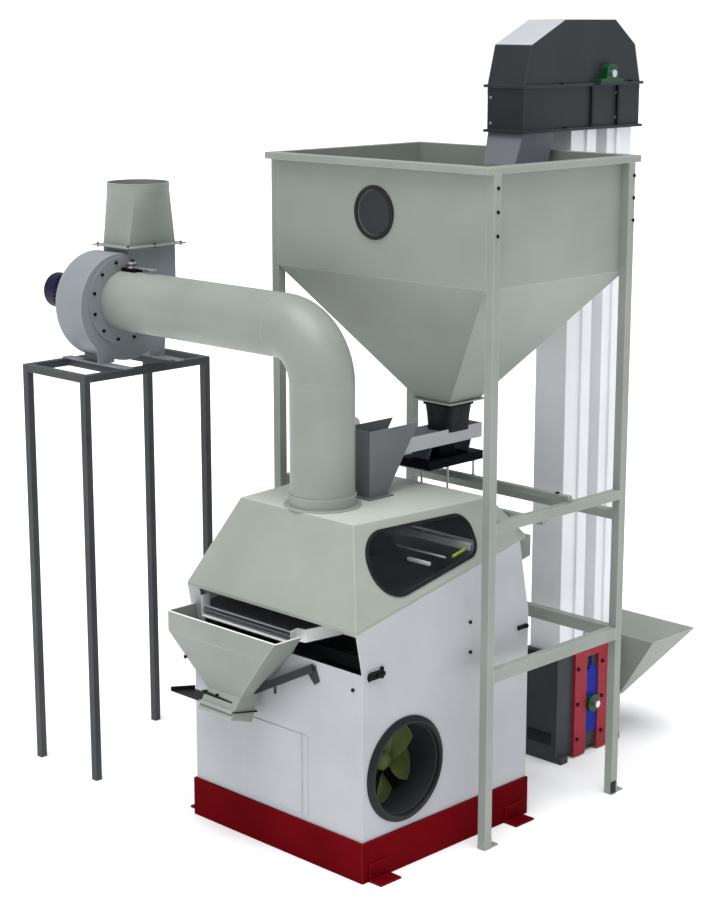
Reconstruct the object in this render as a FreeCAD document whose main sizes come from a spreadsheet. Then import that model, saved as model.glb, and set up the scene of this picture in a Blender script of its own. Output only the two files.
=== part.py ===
import FreeCAD
import Part
import Sketcher
import math
import os

# Stone separator: a vibrating deck in a cabinet with a suction hood, fed by a hopper and a bucket
# elevator, and cleaned of dust by a suction fan on its own stand.
# Millimetres. The origin is on the floor at the middle of the cabinet's base ring. +X is the side of the
# blower's inlet, +Y is the rear, where the stones leave, and +Z is up.

SIZES = [
    # Deck, cabinet and base
    ("tilt", 0.2, "rise over run of the deck and of the hood's lower edge"),
    ("base_width", 1250.0, "base ring, outside, both ways"),
    ("base_height", 207.0, "base ring, height of its channels"),
    ("base_flange", 70.0, "width of the channels' flanges"),
    ("base_web", 10.0, "thickness of the channels"),
    ("cabinet_width", 1226.0, "cabinet, outside, side to side"),
    ("cabinet_rear", 620.0, "rear face of the cabinet behind the middle"),
    ("sheet_wall", 6.0, "thickness of the cabinet's and hood's sheet"),
    ("opening_sill", 1065.0, "height of the front opening's lower edge"),
    ("rim_height", 1276.0, "height of the front opening's upper edge"),
    ("rear_break", 1121.0, "height where the rear face starts to lean"),
    ("opening_flange", 93.0, "width of the white flange left of the front opening"),
    ("bracket_reach", 85.0, "anchor bracket, out from the base"),
    ("bracket_width", 145.0, "anchor bracket, along the base"),
    ("bracket_inset", 43.5, "anchor brackets, in from the base's front and rear faces"),
    ("bracket_leg", 90.0, "anchor bracket, height of its upright leg"),
    ("bracket_plate", 10.0, "anchor bracket, thickness"),
    ("anchor_out", 52.0, "anchor holes, out from the base"),
    ("anchor_inset", 32.5, "anchor holes, in from the bracket's ends"),
    ("anchor_hole", 9.0, "anchor holes, radius"),
    # Access door
    ("door_left", -240.0, "free edge of the access door"),
    ("door_right", 190.0, "hinge line of the access door"),
    ("door_low", 244.0, "lower edge of the access door"),
    ("door_high", 660.0, "upper edge of the access door"),
    ("door_plate", 4.0, "thickness of the door"),
    ("door_overlap", 25.0, "door's overlap on the opening's edges"),
    ("hinge_strip", 42.0, "width of the hinge strip"),
    ("hinge_pin", 3.0, "radius of the hinge pin"),
    ("hinge_barrel", 6.0, "radius of the hinge barrels"),
    ("hinge_fit", 0.05, "clearance of the hinge pin in its barrels"),
    # Hood and window
    ("hood_rear", 582.0, "rear lower edge of the hood"),
    ("hood_lip", 18.0, "height of the hood's lower lip"),
    ("hood_top", 1745.0, "height of the hood's top"),
    ("hood_top_front", -464.0, "front edge of the hood's top"),
    ("hood_top_rear", 430.0, "rear edge of the hood's top"),
    ("hood_side_lean", 0.505, "run over rise of the hood's sides"),
    ("window_front", -450.0, "front edge of the window"),
    ("window_rear", 235.0, "rear edge of the window"),
    ("window_low", 1380.0, "height of the window's front lower corner"),
    ("window_high", 1692.0, "height of the window's upper edge"),
    ("window_round_front", 135.0, "radius of the window's front corners"),
    ("window_round_rear", 75.0, "radius of the window's rear corners"),
    ("gasket_width", 13.0, "width of the window's gasket"),
    ("gasket_proud", 5.0, "height of the gasket above the hood"),
    ("pane_thickness", 5.0, "thickness of the window pane"),
    # Blower inlet
    ("blower_y", -312.0, "blower axis, front to rear"),
    ("blower_z", 514.0, "blower axis, height"),
    ("blower_ring_radius", 270.0, "outer radius of the inlet ring"),
    ("blower_mouth", 232.0, "inner radius of the inlet ring and shroud"),
    ("blower_ring_proud", 26.0, "inlet ring, out from the cabinet"),
    ("shroud_length", 260.0, "length of the blower's shroud"),
    ("rotor_gap", 6.0, "gap from the blades' tips to the shroud"),
    ("rotor_hub", 55.0, "radius of the rotor's hub"),
    ("rotor_blades", 6, "number of blades"),
    ("blade_pitch", 32.0, "degrees from the plane of the rotor"),
    # Product hopper and its gate
    ("spout_left", -582.0, "left wall of the product hopper"),
    ("spout_right", 221.0, "right end of the product hopper's rim"),
    ("product_front", -816.0, "front wall of the product hopper"),
    ("product_rim", 1181.0, "height of the product hopper's rim"),
    ("product_knee", 1075.0, "height where the product hopper's walls start to lean"),
    ("product_neck", 822.0, "height where the spout starts"),
    ("neck_left", -327.0, "left wall of the spout"),
    ("neck_right", -80.0, "right wall of the spout"),
    ("neck_front", -780.0, "front wall of the spout at its top"),
    ("neck_rear", -655.0, "rear wall of the spout at its top"),
    ("spout_lean", -45.0, "how far the spout's end leans forward of its rear top edge"),
    ("spout_drop", 146.0, "drop of the spout's rear wall"),
    ("product_wall", 4.0, "thickness of the product hopper's sheet"),
    ("gate_plate", 4.0, "thickness of the outlet gate"),
    ("gate_out", 225.0, "how far the outlet gate sticks out"),
    ("gate_travel", 180.0, "travel of the outlet gate"),
    # Deck
    ("deck_width", 1120.0, "deck, outside, side to side"),
    ("deck_wall", 6.0, "thickness of the deck's sheet"),
    ("deck_wall_height", 110.0, "height of the deck's side walls"),
    ("deck_front", -652.0, "front end of the deck"),
    ("deck_rear", 690.0, "rear end of the deck, where the stones leave"),
    ("deck_floor_rear", 1384.0, "height of the deck's underside at the cabinet's rear"),
    ("screen_lift", 34.0, "height of the screen above the deck's underside"),
    ("deck_notch", -604.0, "where the deck steps in behind the white flange"),
    ("guide_front", 160.0, "inner end of the corner guide at the front"),
    ("guide_knee", 212.0, "corner guide where it passes the cabinet's front"),
    ("guide_rear", 316.0, "outer end of the corner guide"),
    ("guide_depth", -445.0, "rear end of the corner guide"),
    ("buffer_x", 480.0, "rubber buffers, from the middle, side to side"),
    ("buffer_y", 430.0, "rubber buffers, from the middle, front to rear"),
    ("buffer_radius", 30.0, "radius of the rubber buffers"),
    ("buffer_height", 60.0, "height of the rubber buffers"),
    ("beam_size", 60.0, "deck beams, square tube"),
    # Suction duct and fan
    ("duct_y", -276.0, "duct and fan axis, front to rear"),
    ("duct_radius", 165.0, "outer radius of the duct"),
    ("duct_wall", 3.0, "thickness of the duct"),
    ("elbow_radius", 270.0, "centre line radius of the elbow"),
    ("fan_z", 2625.0, "height of the fan axis"),
    ("collar_height", 60.0, "height of the duct's collar"),
    ("fan_front", -1552.0, "inlet face of the fan"),
    ("fan_depth", 223.0, "depth of the fan casing along its axis"),
    ("fan_wall", 5.0, "thickness of the fan casing"),
    ("scroll_start", 255.0, "scroll radius at the top, where it starts"),
    ("scroll_end", 373.0, "scroll radius after three quarters of a turn"),
    ("inlet_flange_radius", 245.0, "outer radius of the duct's flange at the fan"),
    ("inlet_bolt_circle", 217.0, "radius of the bolt circle in that flange"),
    ("inlet_bolts", 12, "number of bolts in that flange"),
    ("outlet_width", 328.0, "width of the fan's outlet, front to rear"),
    ("outlet_flange_z", 2905.0, "height of the fan's outlet flange"),
    ("outlet_flange_reach", 45.0, "overhang of the outlet flange"),
    ("outlet_top", 3250.0, "height of the round outlet"),
    ("outlet_radius", 172.0, "radius of the round outlet"),
    ("outlet_collar", 40.0, "length of the round outlet's straight end"),
    ("impeller_radius", 230.0, "radius of the suction impeller"),
    ("impeller_blades", 10, "number of the impeller's blades"),
    ("impeller_inset", 72.0, "impeller shroud behind the fan's front face"),
    ("impeller_eye", 150.0, "radius of the opening in the impeller's shroud"),
    ("motor_radius", 104.0, "radius of the fan motor"),
    ("motor_length", 385.0, "length of the fan motor"),
    ("damper_x", -1475.0, "damper spindle along the duct"),
    ("damper_spindle", 8.0, "radius of the damper spindle"),
    ("damper_lever", 200.0, "length of the damper's lever"),
    # Fan stand
    ("stand_left", -1905.0, "outer left face of the stand"),
    ("stand_right", -1359.0, "outer right face of the stand"),
    ("stand_front", -711.0, "outer front face of the stand"),
    ("stand_rear", 171.0, "outer rear face of the stand"),
    ("stand_top", 2281.0, "height of the stand"),
    ("stand_tube", 40.0, "stand, square tube"),
    ("foot_front", -410.0, "front foot of the fan, its middle"),
    ("foot_rear", -48.0, "rear foot of the fan, its middle"),
    ("foot_width", 60.0, "width of the fan's feet"),
    # Feed hopper
    ("hopper_x", 19.0, "middle of the feed hopper"),
    ("hopper_y", 640.0, "middle of the feed hopper, front to rear"),
    ("hopper_width", 1446.0, "feed hopper, outside, side to side"),
    ("hopper_depth", 1095.0, "feed hopper, outside, front to rear"),
    ("hopper_rim", 3452.0, "height of the feed hopper's rim"),
    ("hopper_knee", 2860.0, "height where the feed hopper's cone starts"),
    ("hopper_outlet_z", 2161.0, "height of the feed hopper's outlet"),
    ("hopper_outlet", 240.0, "feed hopper's outlet, square, outside"),
    ("hopper_rim_reach", 48.0, "overhang of the feed hopper's rim"),
    ("hopper_rim_height", 35.0, "height of the feed hopper's rim angle"),
    ("hopper_wall", 4.0, "thickness of the feed hopper's sheet"),
    ("outlet_flange", 280.0, "outlet flange of the feed hopper, square"),
    ("leg_size", 50.0, "feed hopper's legs, square tube"),
    ("upper_brace_top", 1708.0, "top of the upper braces along Y"),
    ("rear_brace_top", 1592.0, "top of the upper rear brace"),
    ("lower_brace_top", 950.0, "top of the lower braces"),
    ("brace_height", 50.0, "height of the upper braces"),
    ("lower_brace_height", 65.0, "height of the lower braces"),
    ("sight_glass_z", 3184.0, "height of the sight glass"),
    ("sight_glass_radius", 115.0, "radius of the glass that shows"),
    ("sight_ring_radius", 136.0, "outer radius of the sight glass's ring"),
    # Feeder
    ("neck_top", 200.0, "rubber neck at its top, square"),
    ("neck_bottom", 150.0, "rubber neck at its bottom, square"),
    ("neck_low", 2000.0, "height of the rubber neck's lower edge"),
    ("trough_width", 166.0, "feeder trough, outside"),
    ("trough_front", 130.0, "front end of the feeder trough"),
    ("trough_rear", 830.0, "rear end of the feeder trough"),
    ("trough_low", 1940.0, "underside of the feeder trough"),
    ("trough_high", 2018.0, "upper edge of the feeder trough"),
    ("trough_wall", 4.0, "thickness of the feeder trough"),
    ("feeder_x", 10.0, "middle of the feeder, side to side"),
    ("feeder_base_width", 210.0, "feeder base, side to side"),
    ("feeder_base_front", 388.0, "front end of the feeder base"),
    ("feeder_base_rear", 815.0, "rear end of the feeder base"),
    ("feeder_base_low", 1825.0, "underside of the feeder base"),
    ("feeder_base_high", 1871.0, "top of the feeder base"),
    ("crossbar_front", 546.0, "front bar under the feeder, its middle"),
    ("crossbar_rear", 751.0, "rear bar under the feeder, its middle"),
    ("crossbar_size", 32.0, "bars under the feeder, square tube"),
    ("rod_radius", 6.0, "radius of the threaded rods under the feeder"),
    # Inlet box on the hood
    ("inlet_left", -82.0, "left wall of the inlet box"),
    ("inlet_right", 102.0, "right wall of the inlet box"),
    ("inlet_front", -40.0, "front wall of the inlet box"),
    ("inlet_low_rear", 80.0, "rear wall of the inlet box at its foot"),
    ("inlet_top_rear", 318.0, "rear wall of the inlet box at its top"),
    ("inlet_top", 2095.0, "height of the inlet box"),
    ("inlet_wall", 4.0, "thickness of the inlet box"),
    # Bucket elevator
    ("elevator_x", 166.0, "middle of the elevator, side to side"),
    ("elevator_y", 1572.0, "middle of the elevator, front to rear"),
    ("elevator_width", 248.0, "elevator boot and head, side to side"),
    ("elevator_wall", 4.0, "thickness of the elevator's sheet"),
    ("casing_size", 212.0, "elevator casings, square, outside"),
    ("casing_gap", 96.0, "gap between the two casings"),
    ("head_low", 3552.0, "underside of the elevator head"),
    ("head_seam", 3796.0, "seam between the elevator head and its cover"),
    ("head_front", 895.0, "front face of the elevator head"),
    ("head_rear", 1872.0, "rear face of the elevator head"),
    ("chute_rear", 1150.0, "rear edge of the head's spout at its top"),
    ("head_top", 4124.0, "top of the elevator's cover"),
    ("boot_front", 1281.0, "front face of the elevator boot"),
    ("boot_rear", 1863.0, "rear face of the elevator boot"),
    ("boot_low", 40.0, "underside of the elevator boot"),
    ("boot_top", 640.0, "top of the elevator boot"),
    ("pulley_radius", 125.0, "radius of both belt pulleys"),
    ("belt_thickness", 8.0, "thickness of the belt"),
    ("belt_width", 180.0, "width of the belt"),
    ("shaft_radius", 20.0, "radius of both pulley shafts"),
    ("head_shaft_z", 3844.0, "height of the head shaft"),
    ("boot_shaft_z", 300.0, "height of the boot shaft"),
    ("takeup_travel", 60.0, "travel of the belt's take-up"),
    ("rail_width", 102.0, "width of the take-up rails"),
    ("rail_depth", 20.0, "depth of the take-up rails"),
    ("rail_top", 620.0, "top of the take-up rails"),
    ("plate_low", 125.0, "lower edge of the take-up plate"),
    ("plate_high", 500.0, "upper edge of the take-up plate"),
    ("plate_thickness", 8.0, "thickness of the take-up plate"),
    ("bearing_length", 190.0, "length of the head bearings"),
    ("intake_rim", 635.0, "height of the intake hopper's rim"),
    ("intake_low", 275.0, "height of the intake hopper's lower edge"),
    ("intake_left", -183.0, "left end of the intake hopper's rim"),
    ("intake_right", 515.0, "right end of the intake hopper's rim"),
    ("intake_rear", 2270.0, "rear edge of the intake hopper's rim"),
    # Common
    ("running_gap", 0.3, "clearance between faces that slide past each other"),
    ("bolt_across", 19.0, "bolt heads, across corners"),
    ("bolt_head", 8.0, "height of the bolt heads"),
]

doc = FreeCAD.newDocument("StoneSeparator")
sheet = doc.addObject("Spreadsheet::Sheet", "Sizes")
for row, (alias, amount, note) in enumerate(SIZES, start=1):
    sheet.set(f"A{row}", note)
    sheet.set(f"B{row}", str(amount))
    sheet.setAlias(f"B{row}", alias)
doc.recompute()


class Length(float):
    """A number from the sheet, or worked out from it, with the formula that gives it."""

    def __new__(cls, amount, formula):
        made = super().__new__(cls, amount)
        made.formula = formula
        return made

    def __add__(self, other):
        return Length(float(self) + float(other), f"({formula_of(self)} + {formula_of(other)})")

    def __radd__(self, other):
        return Length(float(other) + float(self), f"({formula_of(other)} + {formula_of(self)})")

    def __sub__(self, other):
        return Length(float(self) - float(other), f"({formula_of(self)} - {formula_of(other)})")

    def __rsub__(self, other):
        return Length(float(other) - float(self), f"({formula_of(other)} - {formula_of(self)})")

    def __mul__(self, other):
        return Length(float(self) * float(other), f"({formula_of(self)} * {formula_of(other)})")

    def __rmul__(self, other):
        return Length(float(other) * float(self), f"({formula_of(other)} * {formula_of(self)})")

    def __truediv__(self, other):
        return Length(float(self) / float(other), f"({formula_of(self)} / {formula_of(other)})")

    def __neg__(self):
        return Length(-float(self), f"(0 - {formula_of(self)})")


def formula_of(amount):
    """The sheet formula of a length, or a plain number as text."""
    return amount.formula if isinstance(amount, Length) else repr(float(amount))


class Sizes:
    """The sheet's cells by name."""


s = Sizes()
for alias, _, _ in SIZES:
    setattr(s, alias, Length(sheet.get(alias), f"Sizes.{alias}"))

NODES = []
UPRIGHT = {
    "X": FreeCAD.Rotation(FreeCAD.Vector(0, 1, 0), 90),
    "Y": FreeCAD.Rotation(FreeCAD.Vector(1, 0, 0), -90),
    "Z": FreeCAD.Rotation(),
}


def keep(label, made):
    """Name a finished sub-part, which gives its file its name."""
    made.Label = label
    NODES.append(made)
    return made


def put(made, at, turn=None):
    """Place an object at a point whose coordinates stay bound to the sheet."""
    if turn is not None:
        made.Placement = FreeCAD.Placement(FreeCAD.Vector(), turn)
    for axis, amount in zip("xyz", at):
        made.setExpression(f"Placement.Base.{axis}", formula_of(amount))
    return made


def block(x, y, z):
    """A rectangular block between two planes along each axis."""
    made = doc.addObject("Part::Box", "Block")
    for side, (low, high) in zip(("Length", "Width", "Height"), (x, y, z)):
        made.setExpression(side, formula_of(high - low))
    return put(made, (x[0], y[0], z[0]))


def rod(axis, at, radius, length):
    """A round bar that starts at a point and runs along one axis."""
    made = doc.addObject("Part::Cylinder", "Rod")
    made.setExpression("Radius", formula_of(radius))
    made.setExpression("Height", formula_of(length))
    return put(made, at, UPRIGHT[axis])


def hexagon(axis, at, across, height):
    """A bolt head: a six-sided prism that starts at a point and runs along one axis."""
    made = doc.addObject("Part::Prism", "Hexagon")
    made.Polygon = 6
    made.setExpression("Circumradius", formula_of(across / 2))
    made.setExpression("Height", formula_of(height))
    return put(made, at, UPRIGHT[axis])


def cut(base, *tools):
    """One object less some others."""
    made = doc.addObject("Part::Cut", "Cut")
    made.Base = base
    made.Tool = tools[0] if len(tools) == 1 else joined(*tools)
    return made


def common(base, tool):
    """What two objects share."""
    made = doc.addObject("Part::Common", "Common")
    made.Base = base
    made.Tool = tool
    return made


def joined(*pieces):
    """Several objects welded into one."""
    made = doc.addObject("Part::MultiFuse", "Joined")
    made.Shapes = list(pieces)
    made.Refine = True
    return made


def group(*pieces):
    """Separate solids that share one node."""
    made = doc.addObject("Part::Compound", "Group")
    made.Links = list(pieces)
    return made


def tube(axis, at, outer, inner, length):
    """A round tube."""
    return cut(rod(axis, at, outer, length), rod(axis, at, inner, length))


def shaped(shape, at=FreeCAD.Vector()):
    """An object whose shape is worked out here from the sheet's sizes, placed at a point."""
    made = doc.addObject("Part::Feature", "Shaped")
    made.Shape = shape
    made.Placement = FreeCAD.Placement(at, FreeCAD.Rotation())
    return made


def sketch_on(body, plane, points):
    """A closed outline on one of a body's own planes, each corner bound to the sheet."""
    sketch = body.newObject("Sketcher::SketchObject", "Outline")
    support = [flat for flat in body.Origin.OriginFeatures if flat.Role == f"{plane}_Plane"][0]
    sketch.AttachmentSupport = [(support, "")]
    sketch.MapMode = "FlatFace"
    corners = [FreeCAD.Vector(float(across), float(up), 0) for across, up in points]
    count = len(corners)
    for index in range(count):
        sketch.addGeometry(Part.LineSegment(corners[index], corners[(index + 1) % count]), False)
    for index in range(count):
        sketch.addConstraint(Sketcher.Constraint("Coincident", index, 2, (index + 1) % count, 1))
    for index, (across, up) in enumerate(points):
        for kind, amount in (("DistanceX", across), ("DistanceY", up)):
            number = sketch.addConstraint(
                Sketcher.Constraint(kind, -1, 1, index, 1, float(amount)))
            if isinstance(amount, Length):
                sketch.setExpression(f"Constraints[{number}]", formula_of(amount))
    return sketch


def profile(plane, points, low, high):
    """A closed outline on a plane, padded between two places along the plane's normal."""
    body = doc.addObject("PartDesign::Body", "Profile")
    sketch = sketch_on(body, plane, points)
    pad = body.newObject("PartDesign::Pad", "Pad")
    pad.Profile = sketch
    pad.Reversed = plane == "XZ"
    pad.setExpression("Length", formula_of(high - low))
    at = {"XY": (0, 0, low), "XZ": (0, low, 0), "YZ": (low, 0, 0)}[plane]
    return put(body, at)


def turned(axis, at, points):
    """A profile of (radius, place along the axis) pairs, turned about that axis."""
    body = doc.addObject("PartDesign::Body", "Turned")
    sketch = sketch_on(body, "XZ", points)
    turn = body.newObject("PartDesign::Revolution", "Turn")
    turn.Profile = sketch
    turn.ReferenceAxis = (sketch, ["V_Axis"])
    turn.Angle = 360
    return put(body, at, UPRIGHT[axis])


def facet(loop):
    """A flat face, or a ruled one where four corners don't lie in one plane."""
    if len(loop) == 4:
        normal = (loop[1] - loop[0]).cross(loop[2] - loop[0]).normalize()
        if abs(normal.dot(loop[3] - loop[0])) > 1e-6:
            return Part.makeRuledSurface(Part.makeLine(loop[0], loop[1]),
                                         Part.makeLine(loop[3], loop[2]))
    return Part.Face(Part.makePolygon(loop + loop[:1]))


def faceted(low, high):
    """A solid between two outlines with as many corners, with a flat face on each side."""
    count = len(low)
    loops = [list(reversed(low)), list(high)]
    for index in range(count):
        after = (index + 1) % count
        loops.append([low[index], low[after], high[after], high[index]])
    solid = Part.Solid(Part.Shell([facet(loop) for loop in loops]))
    if solid.Volume < 0:
        solid.reverse()
    return solid


def corners(x, y, height, inset=0.0):
    """Four corners of a rectangular section; height is a function of y."""
    left, right = float(x[0]) + inset, float(x[1]) - inset
    front, rear = float(y[0]) + inset, float(y[1]) - inset
    plan = [(left, front), (right, front), (right, rear), (left, rear)]
    return [FreeCAD.Vector(across, along, height(along)) for across, along in plan]


def level(amount):
    """A horizontal height for corners()."""
    return lambda along: float(amount)


def four_walls(low, high, low_inside, high_inside):
    """Four plates, mitred at the corners, between an outer and an inner skin."""
    plates = []
    for index in range(4):
        after = (index + 1) % 4
        plates.append(faceted(
            [low[index], low[after], low_inside[after], low_inside[index]],
            [high[index], high[after], high_inside[after], high_inside[index]]))
    return plates


def box_walls(x, y, z, x_high, y_high, wall):
    """Four mitred plates of a straight or tapered box with level ends."""
    low, high = level(z[0]), level(z[1])
    return four_walls(
        corners(x, y, low), corners(x_high, y_high, high),
        corners(x, y, low, float(wall)), corners(x_high, y_high, high, float(wall)))


def frame_bars(x, y, z, width):
    """A flat rectangular frame of four mitred bars; x and y are its outside."""
    return box_walls(x, y, z, x, y, width)


def prism_of(points, vector):
    """A face through points of one plane, thickened along a vector."""
    return Part.Face(Part.makePolygon(points + points[:1])).extrude(vector)


def bar_between(start, end, width, height):
    """A square bar from one point to another, its height kept upright."""
    run = end - start
    side = run.cross(FreeCAD.Vector(0, 0, 1)).normalize()
    lift = side.cross(run).normalize()
    half_side, half_lift = side * (width / 2), lift * (height / 2)
    section = [start - half_side - half_lift, start + half_side - half_lift,
               start + half_side + half_lift, start - half_side + half_lift]
    return prism_of(section, run)


# Shared places
half_base = s.base_width / 2
half_cabinet = s.cabinet_width / 2
rim_front = -half_cabinet - s.tilt * (s.rim_height - s.opening_sill)
side_rear = ((s.cabinet_rear - s.tilt * (s.rim_height - s.tilt * rim_front - s.rear_break))
             / (1 + s.tilt * s.tilt))


def rim_at(along):
    """Height of the hood's lower edge at a place along Y."""
    return s.rim_height + s.tilt * (along - rim_front)


def deck_floor(along):
    """Height of the deck's underside at a place along Y."""
    return s.deck_floor_rear + s.tilt * (along - s.cabinet_rear)


def front_lean(height):
    """Place along Y of the cabinet's leaning front edge at a height."""
    return -half_cabinet - s.tilt * (height - s.opening_sill)


def base_ring():
    """Four channels, mitred at the corners, open towards the inside."""
    span = (-half_base, half_base)
    inner = half_base - s.base_flange
    hollow = half_base - s.base_web
    ring = cut(
        block(span, span, (0.0, s.base_height)),
        block((-hollow, hollow), (-hollow, hollow), (s.base_web, s.base_height - s.base_web)),
        block((-inner, inner), (-inner, inner), (0.0, s.base_height)))
    quarters = [
        [(0.0, 0.0), (-half_base, -half_base), (half_base, -half_base)],
        [(0.0, 0.0), (half_base, -half_base), (half_base, half_base)],
        [(0.0, 0.0), (half_base, half_base), (-half_base, half_base)],
        [(0.0, 0.0), (-half_base, half_base), (-half_base, -half_base)],
    ]
    sides = [common(ring, profile("XY", corner, 0.0, s.base_height)) for corner in quarters]
    keep("base_frame", group(*sides))


def anchor_brackets():
    """Four angle brackets that hold the base to the floor, two holes in each."""
    front = -half_base + s.bracket_inset
    rear = half_base - s.bracket_inset
    brackets = []
    for side in (-1, 1):
        for low, high in ((front, front + s.bracket_width), (rear - s.bracket_width, rear)):
            face = side * half_base
            toe = side * (half_base + s.bracket_reach)
            inner = side * (half_base + s.bracket_plate)
            points = [(face, 0.0), (toe, 0.0), (toe, s.bracket_plate), (inner, s.bracket_plate),
                      (inner, s.bracket_leg), (face, s.bracket_leg)]
            angle = profile("XZ", points, low, high)
            holes = [rod("Z", (side * (half_base + s.anchor_out), along, -1.0), s.anchor_hole,
                         s.bracket_plate + 2.0)
                     for along in (low + s.anchor_inset, high - s.anchor_inset)]
            brackets.append(cut(angle, *holes))
    keep("anchor_brackets", group(*brackets))


def cabinet():
    """Two side panels that lean at the top, with the front and rear panels between them."""
    inner = half_cabinet - s.sheet_wall
    side = [(-half_cabinet, s.base_height), (-half_cabinet, s.opening_sill),
            (rim_front, s.rim_height), (side_rear, rim_at(side_rear)),
            (s.cabinet_rear, s.rear_break), (s.cabinet_rear, s.base_height)]
    right = profile("YZ", side, inner, half_cabinet)
    hole = rod("X", (inner - 1.0, s.blower_y, s.blower_z), s.blower_mouth, s.sheet_wall + 2.0)
    keep("cabinet_right_side", cut(right, hole))

    flange = profile("YZ", [(-half_cabinet, s.opening_sill), (rim_front, s.rim_height),
                            (rim_front + s.sheet_wall, s.rim_height),
                            (-half_cabinet + s.sheet_wall, s.opening_sill)],
                     -inner, -half_cabinet + s.opening_flange)
    keep("cabinet_left_side", joined(profile("YZ", side, -half_cabinet, -inner), flange))

    front = block((-inner, inner), (-half_cabinet, -half_cabinet + s.sheet_wall),
                  (s.base_height, s.opening_sill))
    opening = block((s.door_left + s.door_overlap, s.door_right - s.door_overlap),
                    (-half_cabinet - 1.0, -inner + 1.0),
                    (s.door_low + s.door_overlap, s.door_high - s.door_overlap))
    keep("cabinet_front", cut(front, opening))

    tail = s.deck_floor_rear - 34.0
    lean = s.cabinet_rear - s.tilt * (tail - s.rear_break)
    lower = [(s.cabinet_rear, s.base_height), (s.cabinet_rear, s.rear_break), (lean, tail),
             (lean - s.sheet_wall, tail), (s.cabinet_rear - s.sheet_wall, s.rear_break),
             (s.cabinet_rear - s.sheet_wall, s.base_height)]
    keep("cabinet_rear", profile("YZ", lower, -inner, inner))


def access_door():
    """The door at the front, hung on a pin in the barrels of a hinge strip."""
    face = -half_cabinet
    pin_y = face - s.hinge_barrel
    plate = block((s.door_left, s.door_right - s.hinge_barrel - 1.0),
                  (face - s.door_plate - s.running_gap, face - s.running_gap),
                  (s.door_low, s.door_high))
    strip = block((s.door_right + s.hinge_barrel + 1.0, s.door_right + s.hinge_strip),
                  (face - s.door_plate, face), (s.door_low, s.door_high))
    knuckles = 5
    pitch = (s.door_high - s.door_low) / knuckles
    door_parts, strip_parts = [plate], [strip]
    for index in range(knuckles):
        low = s.door_low + pitch * index + 0.5
        high = s.door_low + pitch * (index + 1) - 0.5
        moving = index % 2 == 1
        bore = s.hinge_pin + s.hinge_fit
        barrel = rod("Z", (s.door_right, pin_y, low), s.hinge_barrel, high - low)
        reach = (plate, -1) if moving else (strip, 1)
        arm_x = [s.door_right, s.door_right + reach[1] * (s.hinge_barrel + 3.0)]
        arm = block(tuple(sorted(arm_x, key=float)),
                    (face - s.door_plate - s.running_gap, face - s.running_gap)
                    if moving else (face - s.door_plate, face), (low, high))
        knuckle = joined(barrel, arm)
        if moving:
            hole = rod("Z", (s.door_right, pin_y, low - 1.0), bore, high - low + 2.0)
            door_parts.append(cut(knuckle, hole))
        else:
            strip_parts.append(knuckle)
    pin = rod("Z", (s.door_right, pin_y, s.door_low + 2.0), s.hinge_pin,
              s.door_high - s.door_low - 4.0)
    keep("access_door", joined(*door_parts))
    keep("door_hinge_strip", joined(*strip_parts, pin))


def hood_section(height, inset=0.0):
    """The hood's outline at a height given as a function of y."""
    slope = float(s.hood_side_lean)
    lip = float(s.hood_lip)
    rows = []
    rise = float(s.hood_top - rim_at(rim_front)) - lip
    rear_rise = float(s.hood_top - rim_at(s.hood_rear)) - lip
    for side in (-1, 1):
        for low_y, high_y, span, inward in (
                (float(rim_front), float(s.hood_top_front), rise, 1),
                (float(s.hood_rear), float(s.hood_top_rear), rear_rise, -1)):
            along = low_y
            for _ in range(40):
                lift = height(along) - float(rim_at(low_y)) - lip
                along = low_y + (high_y - low_y) * lift / span + inward * inset
            lift = height(along) - float(rim_at(along)) - lip
            across = float(half_cabinet) - slope * lift - inset
            rows.append(FreeCAD.Vector(side * across, along, height(along)))
    left_front, left_rear, right_front, right_rear = rows
    return [left_front, right_front, right_rear, left_rear]


def rounded_outline(points, radii, along_x):
    """A closed outline of (y, z) corners, each rounded by its radius, at a place along X."""
    count = len(points)
    flat = [FreeCAD.Vector(float(along_x), float(across), float(up)) for across, up in points]
    starts, ends, middles = [], [], []
    for index, corner in enumerate(flat):
        before = (flat[index - 1] - corner).normalize()
        after = (flat[(index + 1) % count] - corner).normalize()
        half_turn = before.getAngle(after) / 2
        radius = float(radii[index])
        reach = radius / math.tan(half_turn)
        bisector = (before + after).normalize()
        centre = corner + bisector * (radius / math.sin(half_turn))
        starts.append(corner + before * reach)
        ends.append(corner + after * reach)
        middles.append(centre - bisector * radius)
    edges = []
    for index in range(count):
        edges.append(Part.Arc(starts[index], middles[index], ends[index]).toShape())
        edges.append(Part.makeLine(ends[index], starts[(index + 1) % count]))
    return Part.Face(Part.Wire(edges))


def window_prism(grow):
    """The window's outline, made larger by an amount, as a prism through the hood's side."""
    low = lambda along: s.window_low + s.tilt * (along - s.window_front)
    points = [(s.window_front - grow, s.window_high + grow),
              (s.window_front - grow, low(s.window_front - grow) - grow),
              (s.window_rear + grow, low(s.window_rear + grow) - grow),
              (s.window_rear + grow, s.window_high + grow)]
    radii = [s.window_round_front + grow, s.window_round_front + grow,
             s.window_round_rear + grow, s.window_round_rear + grow]
    reach = float(half_cabinet)
    face = rounded_outline(points, radii, reach / 3)
    return face.extrude(FreeCAD.Vector(reach, 0, 0))


def side_slab(low, high):
    """A flat slab along the hood's right side, between two distances from its outer face."""
    top = hood_section(level(s.hood_top))
    base = hood_section(lambda along: float(rim_at(along) + s.hood_lip))
    normal = (top[2] - base[1]).cross(base[2] - base[1]).normalize()
    if normal.x < 0:
        normal = normal * -1
    spread = base[2] - base[1]
    rise = top[1] - base[1]
    start = base[1] - spread * 0.2 - rise * 0.1 + normal * low
    points = [start, start + spread * 1.4, start + spread * 1.4 + rise * 1.3, start + rise * 1.3]
    return prism_of(points, normal * (high - low))


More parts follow.
